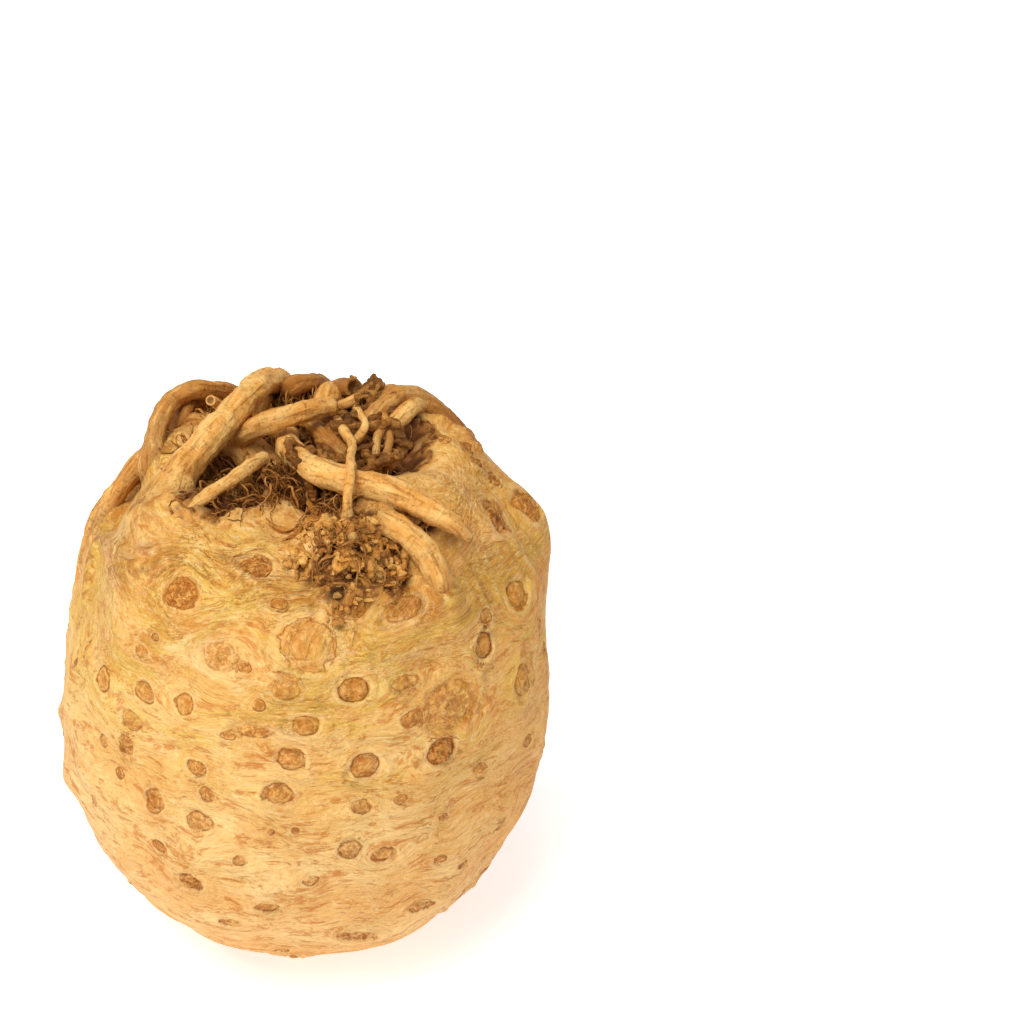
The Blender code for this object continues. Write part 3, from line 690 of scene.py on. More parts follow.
def bulb():
    """The whole skin: relief of scars, wrinkles, crumbs in the hollow and below it, and a fillet
    (k - gap) squared / 2k where it meets a root. The leaf end is cut flat at the floor."""
    d, quads = ball(SKIN_SQUARES)
    radius = scar_relief(d)
    points = d * radius[:, None]
    place, looks, bend = scar_places(points)
    fine, creases, flow = wrinkles(points, bend, d)
    whole = 1.0 - ease(1.7 * zone(d, SWELLING))
    # How deep in the hollow or in the shadowed torn places, where the skin is torn and painted with shade.
    deep = np.maximum(in_hollow(d), zone(d, SHADOWED_TORN)) * whole
    crumbly = np.maximum(ease(deep * 1.8), zone(d, CRUMBLY) * whole)
    relief = fine * (1.0 - crumbly) * (1.0 - 0.7 * bell(place[:, 2] / 0.9))
    torn = 0.9 * waves(points, 5.0, SEED + 12) + 0.7 * waves(points, 2.6, SEED + 13)
    relief += crumbly * (torn - 0.6 * np.abs(waves(points, 3.4, SEED + 14)))
    radius += relief
    gap = gap_to_roots(d * radius[:, None])
    radius += np.clip(FILLET - np.maximum(gap, 0.0), 0.0, None) ** 2 / (2 * FILLET)
    floor = HEART_HEIGHT / np.maximum(-d[:, 2], 1e-6)
    trimmed = ease((radius - floor) / 1.5)
    points = d * np.minimum(radius, floor)[:, None]
    # The zones: torn skin; nearness to a root, where the skin is painted brown and shaded; the cut leaf
    # end.
    zones = np.column_stack([crumbly, np.exp(-np.maximum(gap, 0.0) / 2.4), trimmed])
    # The lines: creases, depth in the hollow and relief, by which the skin paints shade in the creases,
    # deep in the hollow and in low torn places, and highlights on raised skin.
    lines = np.column_stack([creases, deep, relief])
    return add_piece("bulb_skin", points, quads, scar_place=place, scar_look=looks, flow=flow,
                     zones=zones, lines=lines)


bulb_piece = bulb()

# %% [markdown]
# ## Roots as meshes
#
# Every root is the same surface: rings carried along its path. Rings must not twist, so each one's
# first spoke is the last one's, turned only as far as the path turns. Knots, grooves along the root and
# fine rings across it make the radius vary. A root widens where it leaves the bulb, and a broken end is
# a blunt stump with a shallow cup in it, which the last few rings form by stepping back inside.

# %% Tubes along paths
# For the rings of a finished end: share of the root's radius, and how many radii they lie inside the
# end, where less than 0 is outside it.
CUP_RINGS = [(0.99, 0.0), (0.9, -0.12), (0.66, -0.05), (0.42, 0.25), (0.16, 0.42)]
# Height for a radius of 1, stretch along and across the root, and size in millimetres, of the bark's
# knots, small knots, grooves along the root and rings across it.
BARK_WAVES = [(0.7, (1.0, 0.6, 0.6), 8.0), (0.4, (1.0, 0.9, 0.9), 3.4), (0.35, (0.12, 1.0, 1.0), 1.8),
              (0.25, (1.0, 0.25, 0.25), 1.7)]
# A direction that no root takes, to start the spokes from.
ASKEW = (0.31, 0.22, 0.93)


def over_skin(points):
    """How far each point lies over the bulb's broad shape."""
    return np.linalg.norm(points, axis=1) - lumpy(unit(points))


def near_skin(points, reach):
    """1 at the skin and inside it, and fading above it: e to the minus height over reach."""
    return np.exp(-np.maximum(over_skin(points), 0.0) / reach)


def ring_quads(index):
    """Outward quads between neighbouring rings. The last two axes of index are the rings of a tube and
    the points round each."""
    beside = np.roll(index, -1, axis=-1)
    quads = [index[..., :-1, :], beside[..., :-1, :], beside[..., 1:, :], index[..., 1:, :]]
    return np.stack(quads, axis=-1).reshape(-1, 4)


def spokes(path):
    """Two unit arrows across the path at each point, that turn with it and don't twist."""
    tangent = unit(np.gradient(path[:, :3], axis=0))
    across = [unit(np.cross(tangent[0], ASKEW))]
    for ahead in tangent[1:]:
        across.append(unit(across[-1] - (across[-1] @ ahead) * ahead))
    across = np.array(across)
    return across, np.cross(tangent, across)


def with_cups(path):
    """The path with both ends finished: extra stations whose radius shrinks as they step outwards a
    little and then back in. Also which stations lie inside a cup."""
    stations = []
    for end, inner in ((0, 1), (-1, -2)):
        outwards = unit(path[end, :3] - path[inner, :3])
        radius = path[end, 3]
        cup = [[*(path[end, :3] - outwards * back * radius), radius * share] for share, back in CUP_RINGS]
        stations.append(np.array(cup))
    inside = np.zeros(len(path) + 2 * len(CUP_RINGS))
    inside[:len(CUP_RINGS) - 2] = inside[-len(CUP_RINGS) + 2:] = 1.0
    return np.vstack([stations[0][::-1], path, stations[1]]), inside


def tube(path, sides, rough, seed, flare):
    """Points, quads, end caps, grain and cup marks of one root. Radius = path radius x (1 + rough x
    waves along and around) x (1 + flare, near an end that is buried in the bulb)."""
    across, other = spokes(path)
    along = np.append(0.0, np.cumsum(np.linalg.norm(np.diff(path[:, :3], axis=0), axis=1)))
    over = over_skin(path[:, :3])
    low = bell(np.maximum(over, 0.0) / 2.5)
    wide = path[:, 3].copy()
    for end, from_end in ((0, along), (-1, along[-1] - along)):
        if over[end] < 0.5 * path[end, 3]:
            wide *= 1.0 + flare * low * np.exp(-from_end / (2.5 * path[end, 3]))
    path, inside = with_cups(np.column_stack([path[:, :3], wide]))
    ends = len(CUP_RINGS)
    across, other = (np.vstack([a[:1].repeat(ends, 0), a, a[-1:].repeat(ends, 0)]) for a in (across, other))
    along = np.concatenate([along[:1].repeat(ends), along, along[-1:].repeat(ends)])
    turn = np.linspace(0.0, 2.0 * pi, sides, endpoint=False)
    radius = path[:, 3:4]
    grain = np.dstack([np.tile(along[:, None], sides), np.cos(turn) * radius, np.sin(turn) * radius])
    grain = grain.reshape(-1, 3) + [37.0 * seed, 0.0, 0.0]
    bumps = sum(height * waves(grain * stretch, size, seed + i)
                for i, (height, stretch, size) in enumerate(BARK_WAVES))
    index = np.arange(len(grain)).reshape(len(path), sides)
    radius = radius * (1.0 + rough * bumps.reshape(index.shape))
    ring = np.cos(turn)[:, None] * across[:, None] + np.sin(turn)[:, None] * other[:, None]
    points = (path[:, None, :3] + radius[..., None] * ring).reshape(-1, 3)
    caps = [index[0][::-1].tolist(), index[-1].tolist()]
    return points, ring_quads(index), caps, grain, inside.repeat(sides)


def tubes_piece(name, paths, sides, rough, seed, flare=0.0, shades=None):
    """Many roots in one piece. `tone` holds a shade for each root, at random unless it is given, how
    near the skin each point is, and whether it is inside a cup. The bark paints shade by the last two."""
    rng = np.random.default_rng(SEED + seed)
    points, quads, caps, grains, tones = [], [], [], [], []
    count = 0
    for i, path in enumerate(paths):
        p, q, c, g, inside = tube(path, sides, rough, SEED + seed + 4 * i, flare)
        shade = rng.uniform() if shades is None else shades[i]
        points.append(p)
        quads.append(q + count)
        caps += [[k + count for k in cap] for cap in c]
        grains.append(g)
        tones.append(np.column_stack([np.full(len(p), shade), near_skin(p, 3.0), inside]))
        count += len(p)
    return add_piece(name, np.vstack(points), np.vstack(quads), caps, grain=np.vstack(grains),
                     tone=np.vstack(tones))


# How dark the darker roots are: partly the brown of their own bark, partly painted shade on roots that lie
# in the shadow of others. The others are pale.
ROOT_BROWN_AND_SHADE = {"cross": 0.35, "net_right": 0.6, "left_arch": 0.7, "back_splinter": 0.7, "inner_arch": 0.8,
               "net_far_right": 0.8, "net_thick": 0.9, "behind_arch": 1.0, "back_knob": 1.0,
               "back_stub": 1.0, "right_ridge": 1.0}
PALE_FREE, PALE_CLINGING = 0.1, 0.25
thick_shades = [ROOT_BROWN_AND_SHADE.get(name, PALE_FREE) for name in FREE_ROOTS]
thick_piece = tubes_piece("thick_roots", ROOT_PATHS["thick"], sides=32, rough=0.12, seed=40, flare=0.35,
                          shades=thick_shades)
back_piece = tubes_piece("back_roots", ROOT_PATHS["back"], sides=22, rough=0.10, seed=160, flare=0.3)
clinging_shades = [ROOT_BROWN_AND_SHADE.get(name, PALE_CLINGING) for name in CLINGING_ROOTS]
clinging_piece = tubes_piece("clinging_roots", ROOT_PATHS["clinging"], sides=14, rough=0.14, seed=200,
                             shades=clinging_shades)

# %% [markdown]
# ## The net and the mat of rootlets
#
# On the right of the hollow the rootlets have grown into a spongy net of stout strands with dark holes,
# and the torn skin below the hollow has a low crust of the same kind. Both are drawn as a graph: knots
# scattered over the skin, each tied to its nearest neighbours by a strand that thickens at both knots.
# The stronger rootlets run through the net. A voxel remesh then melts the strands of each together, as
# nothing but their crossings has to change, and noise along the normals makes them rough.
#
# Between the thick roots lies a mat of thin, dry rootlets. Each one starts somewhere on the hollow's
# floor, sets off in its own direction and wanders, held close to the floor by a pull. All of them are
# worked out together as one array of paths, with only four or five sides each, because there are so
# many.

# %% A spongy net of strands
NET_MIDDLE, NET_REACH = (8.0, 12.0), (15.0, 17.0)
NET_HEIGHT = 58.0
NET_KNOTS = 95
CRUST_KNOTS = 150
STATIONS = 24
NET_GRAIN = 0.3
# Height and size in millimetres of the net's roughness, and what each adds to the seed.
NET_ROUGHNESS = [(0.1, 3.6, 59), (0.18, 1.9, 60), (0.12, 1.1, 61)]
# About how far the skin is from the heart.
SKIN_REACH = 60.0


def strands(ways, lift, thin, seed):
    """Paths (count, STATIONS, 4) between each knot and its nearest three. The knots lie along `ways`, at
    `lift` above the skin. A strand sways a little, and its radius is widest at both ends."""
    rng = np.random.default_rng(SEED + seed)
    knots = ways * (lumpy(ways) + lift)[:, None]
    gaps = np.linalg.norm(knots[:, None] - knots[None], axis=2) + 99.0 * np.eye(len(knots))
    pairs = {tuple(sorted((i, int(j)))) for i in range(len(knots)) for j in np.argsort(gaps[i])[:3]}
    start, end = np.array(sorted(pairs)).T
    t = np.linspace(0.0, 1.0, STATIONS)[None, :, None]
    span = gaps[start, end][:, None, None]
    sway = rng.normal(0.0, 0.12, (len(start), 1, 3)) * span * np.sin(t * pi)
    centre = knots[start][:, None] * (1.0 - t) + knots[end][:, None] * t + sway
    thick = thin * rng.uniform(1.0, 2.6, (len(start), 1)) * (1.0 + 0.9 * (2.0 * t[..., 0] - 1.0) ** 4)
    return np.dstack([centre, thick])


def net_strands():
    """The high net, with the stronger rootlets that run through it."""
    rng = np.random.default_rng(SEED + 50)
    spot = rng.normal(0.0, 0.5, (NET_KNOTS, 2)).clip(-1.0, 1.0) * NET_REACH + NET_MIDDLE
    ways = unit(np.column_stack([spot, np.full(NET_KNOTS, NET_HEIGHT)]))
    net = strands(ways, rng.uniform(-0.5, 8.0, NET_KNOTS), thin=0.28, seed=51)
    strong = [path[np.linspace(0, len(path) - 1, STATIONS).astype(int)] for path in ROOT_PATHS["rootlet"]]
    return np.concatenate([net, strong])


def scattered(rng, places, count, chances, spread):
    """Random ways round these places, and which place each belongs to. The chances say how often a place
    is chosen, the spread how many millimetres a way strays from it."""
    middles = unit(on_skin([place[:2] for place in places], lumpy))
    chosen = rng.choice(len(places), count, p=chances / chances.sum())
    strays = rng.normal(size=(count, 3)) * spread[chosen, None]
    return unit(middles[chosen] * SKIN_REACH + strays), chosen


def crumbly_ways(rng, count):
    """Random ways over the torn skin below the hollow."""
    reach = np.array([place[2] for place in CRUMBLY])
    return scattered(rng, CRUMBLY, count, reach**2, 0.5 * reach)[0]


def crust_strands():
    """A low net over the torn skin below the hollow."""
    rng = np.random.default_rng(SEED + 55)
    ways = crumbly_ways(rng, CRUST_KNOTS)
    return strands(ways, rng.uniform(-0.9, 0.9, CRUST_KNOTS), thin=0.14, seed=56)


# %% Hundreds of wandering rootlets
# Pixel, share of the rootlets that start there, and how high they rise against the others.
MAT_PLACES = [(230, 462, 1.0, 1.0), (255, 440, 1.0, 1.0), (215, 475, 0.8, 1.0), (240, 490, 0.8, 0.7),
              (270, 480, 1.0, 0.8), (195, 420, 0.5, 0.6), (300, 400, 0.5, 1.0), (300, 440, 0.8, 1.0),
              (330, 430, 0.3, 1.0), (375, 450, 0.3, 1.0), (320, 505, 0.6, 0.6), (350, 500, 0.4, 0.6),
              (352, 545, 0.3, 0.1), (330, 530, 0.3, 0.1), (378, 565, 0.15, 0.1), (222, 496, 0.4, 0.3)]
MAT_SPREAD = 3.2


def wandering(count, stations, step, radius, seed, lift, turning):
    """Paths (count, stations, 4) that start round the mat's places. Each step keeps most of the last
    direction, adds a random turn and a pull towards a height just over the hollow's floor."""
    rng = np.random.default_rng(SEED + seed)
    _, _, shares, heights = np.array(MAT_PLACES).T
    ways, chosen = scattered(rng, MAT_PLACES, count, shares, np.full(len(shares), MAT_SPREAD))
    here = ways * (lumpy(ways) - 0.8)[:, None]
    heading = unit(rng.normal(size=(count, 3)) + 0.9 * ways)
    target = rng.uniform(0.2, 1.0, count) * lift * heights[chosen]
    paths = np.empty((count, stations, 4))
    for i in range(stations):
        paths[:, i, :3] = here
        pull = np.clip((target - over_skin(here)) * 0.35, -1.0, 1.0)[:, None] * unit(here)
        heading = unit(heading + turning * rng.normal(size=(count, 3)) + pull)
        here = here + step * heading
    taper = 1.0 - 0.6 * np.linspace(0.0, 1.0, stations) ** 2
    paths[..., 3] = radius * rng.uniform(0.6, 1.5, (count, 1)) * taper
    return paths


def thin_tubes(name, paths, sides, seed):
    """All paths at once as thin tubes. A ring lies across the mean of the steps before and after it."""
    count, length, _ = paths.shape
    centre = paths[..., :3]
    tangent = unit(np.gradient(centre, axis=1))
    across = unit(np.cross(tangent, ASKEW))
    other = np.cross(tangent, across)
    turn = np.linspace(0.0, 2.0 * pi, sides, endpoint=False)[:, None]
    ring = np.cos(turn) * across[:, :, None] + np.sin(turn) * other[:, :, None]
    points = (centre[:, :, None] + paths[..., 3, None, None] * ring).reshape(-1, 3)
    index = np.arange(len(points)).reshape(count, length, sides)
    caps = index[:, 0, ::-1].tolist() + index[:, -1].tolist()
    shade = np.repeat(np.random.default_rng(SEED + seed).uniform(size=count), length * sides)
    # How near the skin each point is sets the bark's painted shade there.
    tone = np.column_stack([shade, near_skin(points, 2.5), np.zeros(len(points))])
    grain = points + 50.0 * shade[:, None]
    return add_piece(name, points, ring_quads(index), caps, grain=grain, tone=tone)


def melted(piece):
    """Remeshes the piece into one rough skin of fine squares, and stores its attributes again."""
    remesh = piece.modifiers.new("melt", "REMESH")
    remesh.mode = "VOXEL"
    remesh.voxel_size = NET_GRAIN * MM
    with bpy.context.temp_override(object=piece, active_object=piece, selected_objects=[piece]):
        bpy.ops.object.modifier_apply(modifier=remesh.name)
    mesh = piece.data
    points = np.empty(len(mesh.vertices) * 3)
    mesh.vertices.foreach_get("co", points)
    points = points.reshape(-1, 3) / MM - HEART
    normals = np.empty(points.size, np.float32)
    mesh.vertices.foreach_get("normal", normals)
    rough = sum(height * waves(points, size, SEED + seed) for height, size, seed in NET_ROUGHNESS)
    points += normals.reshape(-1, 3) * rough[:, None]
    mesh.vertices.foreach_set("co", ((points + HEART) * MM).ravel())
    shade = 0.5 + 0.5 * waves(points, 9.0, SEED + 62).clip(-1.0, 1.0)
    # How near the skin each point is sets the bark's painted shade there.
    tone = np.column_stack([shade, near_skin(points, 2.5), np.zeros(len(points))])
    store(mesh, grain=points, tone=tone)
    print(piece.name, "melted into", len(mesh.vertices), "points")
    return piece


net_piece = melted(thin_tubes("rootlet_net", net_strands(), sides=10, seed=321))
crust_piece = melted(thin_tubes("torn_crust", crust_strands(), sides=6, seed=331))
mat = wandering(count=320, stations=12, step=1.1, radius=0.24, seed=300, lift=4.0, turning=0.3)
mat_piece = thin_tubes("rootlet_mat", mat, sides=5, seed=301)
fuzz = wandering(count=1200, stations=8, step=0.8, radius=0.12, seed=310, lift=3.0, turning=0.4)
fuzz_piece = thin_tubes("rootlet_fuzz", fuzz, sides=4, seed=311)

# %% [markdown]
# ## Crumbs of bark
#
# Below the hollow the skin is torn, and chips of pale cork lie in the tears. One chip is a ball of a few
# squares, pressed flat and curled, whose corners are pushed in and out. All the chips are one array: the
# ball, stretched, turned and moved for each, so that it lies nearly flat on the skin.

# %% Curled chips
CRUMBS = 340


def crumbs():
    """Flat, curled, dented chips, set at random into the crumbly places and tilted off the skin."""
    rng = np.random.default_rng(SEED + 70)
    shape, quads = ball(3)
    ways = crumbly_ways(rng, CRUMBS)
    size = 0.3 + 1.5 * rng.uniform(size=(CRUMBS, 1, 1)) ** 2.6
    dents = 1.0 + 0.45 * waves((shape + rng.uniform(0, 50, (CRUMBS, 1, 3))).reshape(-1, 3), 1.5, SEED + 71)
    flat = rng.uniform((0.8, 0.5, 0.16), (1.6, 1.0, 0.34), (CRUMBS, 3))[:, None]
    chips = shape * flat * dents.reshape(CRUMBS, -1, 1)
    chips[..., 2] += 0.3 * (chips[..., 0] ** 2 + chips[..., 1] ** 2) * rng.uniform(-1.0, 1.0, (CRUMBS, 1))
    normal = unit(ways + rng.normal(0.0, 0.45, (CRUMBS, 3)))
    side = unit(np.cross(normal, rng.normal(size=(CRUMBS, 3))))
    turns = np.stack([side, np.cross(normal, side), normal], axis=1)
    lift = rng.uniform(-0.3, 0.9, CRUMBS)
    points = (chips * size) @ turns + (ways * (lumpy(ways) + lift)[:, None])[:, None]
    index = quads[None] + np.arange(CRUMBS)[:, None, None] * len(shape)
    shade = np.repeat(rng.uniform(0.0, 1.0, CRUMBS) ** 2, len(shape))
    # Every chip counts as a little near the skin, which gives it a little painted shade.
    tone = np.column_stack([shade, np.full(len(shade), 0.2), np.zeros(len(shade))])
    points = points.reshape(-1, 3)
    return add_piece("crumbs", points, index.reshape(-1, 4), grain=points, tone=tone)


crumb_piece = crumbs()

# %% [markdown]
# ## Writing materials as arithmetic
#
# A material is a graph of nodes, and a long one is hard to read as a picture. Here a number in the graph
# is wrapped in a small class, so that `1 - mask` or `lines * 0.5` is plain Python that adds the Math
# nodes by itself. Everything else goes through one method, `node`.

# %% A class for numbers in a material, and one for the material
def math_method(operation, swapped=False):
    """A method that adds the Math node for a number and another one, or the other way round."""

    def method(number, other):
        terms = (other, number) if swapped else (number, other)
        return number.maths(operation, *terms)

    return method


class Number:
    """A number socket. Arithmetic on it adds Math nodes."""

    def __init__(self, paint, socket):
        self.paint = paint
        self.socket = socket

    def maths(self, operation, *terms):
        node = self.paint.node("ShaderNodeMath", {"operation": operation}, dict(enumerate(terms)))
        return self.paint.number(node)

    __add__ = __radd__ = math_method("ADD")
    __mul__ = __rmul__ = math_method("MULTIPLY")
    __sub__ = math_method("SUBTRACT")
    __rsub__ = math_method("SUBTRACT", swapped=True)
    __rtruediv__ = math_method("DIVIDE", swapped=True)
    at_most = math_method("MINIMUM")
    at_least = math_method("MAXIMUM")

    def __abs__(self):
        return self.maths("ABSOLUTE", self)

    def root(self):
        return self.maths("SQRT", self)

    def step(self, low, high):
        """0 below low, 1 above high and soft between. With low above high it falls instead."""
        limits = {"Value": self, "From Min": low, "From Max": high}
        node = self.paint.node("ShaderNodeMapRange", {"interpolation_type": "SMOOTHSTEP"}, limits)
        return self.paint.number(node, "Result")

    def bump(self, middle, width):
        """1 where the number is at middle, 0 beyond width either side."""
        return abs(self - middle).step(width, 0.0)


def tint(red, green, blue, light=1.0):
    """A screen colour, 0 to 255, as the linear colour that a material takes, made lighter or darker."""
    screen = np.array([red, green, blue]) / 255.0
    linear = np.where(screen <= 0.04045, screen / 12.92, ((screen + 0.055) / 1.055) ** 2.4)
    return (*(linear * light), 1.0)


class Paint:
    """One material being built. Its shader is Principled BSDF. `light` is how light its tints come out."""

    def __init__(self, name, light=1.0):
        self.light = light
        self.material = bpy.data.materials.new(name)
        self.material.use_nodes = True
        self.tree = self.material.node_tree
        self.shader = self.tree.nodes["Principled BSDF"]

    def node(self, kind, settings=None, inputs=None):
        """Adds a node: settings first, then each input by name or number, as a value or a link."""
        node = self.tree.nodes.new(kind)
        for name, value in (settings or {}).items():
            setattr(node, name, value)
        self.plug(node, inputs or {})
        return node

    def plug(self, node, inputs):
        for name, value in inputs.items():
            if isinstance(value, Number):
                value = value.socket
            if isinstance(value, bpy.types.NodeSocket):
                self.tree.links.new(value, node.inputs[name])
            else:
                node.inputs[name].default_value = value

    def number(self, node, output=0):
        return Number(self, node.outputs[output])

    def attribute(self, name):
        return self.node("ShaderNodeAttribute", {"attribute_name": name}).outputs["Vector"]

    def place(self):
        """The point's own place on the object, in millimetres."""
        place = self.node("ShaderNodeTexCoord").outputs["Object"]
        return self.scaled(place, (1.0 / MM, 1.0 / MM, 1.0 / MM))

    def parts(self, vector):
        split = self.node("ShaderNodeSeparateXYZ", inputs={0: vector})
        return [Number(self, out) for out in split.outputs]

    def scaled(self, vector, by, shift=(0, 0, 0)):
        terms = {0: vector, 1: by, 2: shift}
        return self.node("ShaderNodeVectorMath", {"operation": "MULTIPLY_ADD"}, terms).outputs[0]

    def noise(self, vector, by, detail=3.0, roughness=0.5, distortion=0.0, shift=(0, 0, 0)):
        """Noise with blotches 1 wide, after the vector is multiplied by `by` and shifted."""
        inputs = {"Vector": self.scaled(vector, by, shift), "Scale": 1.0, "Detail": detail,
                  "Roughness": roughness, "Distortion": distortion}
        return self.number(self.node("ShaderNodeTexNoise", inputs=inputs))

    def mix(self, amount, below, above):
        """The colour above laid over the colour below, by amount."""
        inputs = {"Factor": amount, 6: below, 7: above}
        return self.node("ShaderNodeMix", {"data_type": "RGBA", "clamp_factor": True}, inputs).outputs[2]

    def layers(self, colour, rows):
        """Colours laid over this one, one after the other. A row is the amount, red, green and blue."""
        for amount, *screen in rows:
            colour = self.mix(amount, colour, tint(*screen, self.light))
        return colour

    def finished(self, colour, roughness, height_mm):
        """The material with this colour, this roughness and a bump of this height."""
        bump = self.node("ShaderNodeBump", inputs={"Strength": 1.0, "Distance": MM, "Height": height_mm})
        self.plug(self.shader, {"Base Color": colour, "Roughness": roughness,
                                "Normal": bump.outputs["Normal"], "Specular IOR Level": 0.2})
        return self.material


print("cream skin as a linear colour:", np.round(tint(243, 198, 133), 3))

# %% [markdown]
# ## Skin
#
# The skin's colours were read from the photograph: cream, yellow bands round the upper half, brown corky
# lines along the wrinkles, and browner still near the roots. Some of the colour is painted light: painted
# shade in the creases, beside the roots, down in the hollow and on the right side, and painted highlights
# on raised skin. Painting an image would fix them to one view, so each is a mask from noise that is
# squeezed along the flow of the skin. Scars are drawn by distance from their middle, so their rings stay
# sharp however coarse the mesh. The studio light brightens whatever faces it, so every colour is a little
# darker than it looks in the photograph.

# %% Skin material
SKIN_LIGHT = 0.85


def ground_colour(paint, flow, height):
    """Cream to peach skin that turns golden towards the root end and browner on the right, partly its own
    colour and partly painted shade on the side away from the light, with yellow bands round the upper half
    and soft mottling."""
    patches = paint.noise(flow, (0.05, 0.05, 0.07), 2.0, shift=(7, 3, 1))
    bands = paint.noise(flow, (0.03, 0.03, 0.12), 3.0, 0.55, 1.2)
    mottle = paint.noise(flow, (0.2, 0.2, 0.34), 4.0, 0.62, 0.8)
    cream, peach = tint(250, 206, 134, SKIN_LIGHT), tint(243, 184, 106, SKIN_LIGHT)
    colour = paint.layers(paint.mix(patches.step(0.35, 0.65), cream, peach), [
        (height.step(-30.0, 50.0) * 0.6, 236, 178, 84),
        # Browner on the right: the skin's own colour and painted shade on the side away from the light.
        (paint.parts(flow)[0].step(20.0, 60.0) * 0.55, 230, 154, 58),
        (bands.step(0.44, 0.58) * height.bump(38.0, 40.0) * 0.85, 234, 190, 82),
        (bands.step(0.47, 0.6) * height.bump(44.0, 26.0) * 0.6, 214, 168, 72),
        (mottle.step(0.52, 0.72) * 0.48, 222, 148, 62),
        (mottle.step(0.46, 0.28) * 0.4, 255, 222, 156),
    ])
    return colour, mottle


def line_marks(paint, flow, height):
    """Fine fibres, a few curled brown strokes and short dashes, all squeezed along the flow. The brow
    has most of the strokes, and the leaf end most of the dashes."""
    brow = height.step(26.0, 60.0)
    patchy = paint.noise(flow, (0.07, 0.07, 0.12), 2.0, shift=(2, 8, 4))
    fibres = paint.noise(flow, (0.26, 0.26, 1.3), 5.0, 0.66, 0.9, shift=(5, 5, 0))
    curls = paint.noise(flow, (0.12, 0.12, 0.5), 4.0, 0.6, 1.6, shift=(1, 1, 0)).bump(0.5, 0.026)
    dashes = paint.noise(flow, (0.2, 0.2, 0.62), 4.0, 0.62, 0.7, shift=(9, 2, 0))
    specks = paint.noise(flow, (0.7, 0.7, 1.1), 3.0, 0.6, shift=(0, 2, 7))
    smudges = paint.noise(flow, (0.13, 0.13, 0.24), 4.0, 0.6, 0.5, shift=(3, 7, 1))
    marks = dashes.step(0.55, 0.67) * (1.0 - 0.5 * brow)
    marks = marks + smudges.step(0.53, 0.64) * specks.step(0.4, 0.58) * (0.9 - 0.6 * brow)
    strokes = curls * patchy.step(0.42, 0.58) * (0.25 + 0.75 * brow)
    return fibres, strokes, marks.at_most(1.0), brow


def paint_scars(paint, colour):
    """A soft brown patch with crumbs in it, a dark outline that is broken and bent by noise, a pale rim
    and faint rings round it, all by distance from the scar's middle. Returns the colour and the relief
    in millimetres."""
    across, over, nearest = paint.parts(paint.attribute("scar_place"))
    ring_dark, middle_dark, scar_width = paint.parts(paint.attribute("scar_look"))
    place = paint.place()
    wobble = paint.noise(place, (0.3, 0.3, 0.3), 4.0, 0.62, shift=(4, 0, 8))
    crumbs = paint.noise(place, (0.85, 0.85, 0.85), 5.0, 0.68, 0.8)
    gaps = paint.noise(place, (0.34, 0.34, 0.34), 3.0, 0.6, shift=(0, 9, 5))
    grit = paint.noise(place, (0.8, 0.8, 0.8), 1.0, 0.5, shift=(2, 2, 2))
    q = (across * across + over * over).root().at_least(nearest - 0.3)
    q = q * (1.0 + (wobble - 0.5) * (1.6 - 1.2 * ring_dark))
    width = (0.7 / scar_width.at_least(2.0)).at_most(0.26).at_least(0.055)
    outer = q.bump(0.9, width) * (gaps + 0.14 * ring_dark).step(0.42, 0.56)
    inner = q.bump(0.55, width) * gaps.step(0.6, 0.44)
    second = q.bump(1.3, width * 0.8) * crumbs.step(0.4, 0.58)
    third = q.bump(1.68, width * 0.8) * crumbs.step(0.44, 0.6)
    inside = q.step(1.05, 0.7)
    patch = q.step(1.5, 0.6) * (0.4 + 0.8 * gaps)
    halo = q.step(1.4, 1.16) * q.step(0.92, 1.1)
    band = q.bump(0.8, 0.22) * gaps.step(0.3, 0.6) * (0.2 + 0.8 * middle_dark)
    colour = paint.layers(colour, [
        (patch * (0.15 + 0.45 * middle_dark), 224, 144, 54),
        (halo * (0.1 + 0.3 * ring_dark), 255, 220, 150),
        (inside * crumbs.step(0.46, 0.36) * 0.5, 246, 196, 118),
        (inside * crumbs.step(0.45, 0.58) * (0.2 + 0.8 * middle_dark), 160, 82, 12),
        (q.step(0.75, 0.2) * crumbs.step(0.38, 0.52) * middle_dark * 0.9, 128, 60, 6),
        ((second * 0.5 + third * 0.35) * ring_dark, 204, 126, 44),
        (q.step(0.58, 0.46) * ring_dark * 0.55, 218, 146, 60),
        (inner * ring_dark * 0.75, 172, 100, 30),
        (band * ring_dark * 0.5, 158, 84, 14),
        (outer * (0.1 + 0.9 * ring_dark), 146, 72, 10),
    ])
    return colour, inside * grit * 0.35 - outer * 0.06


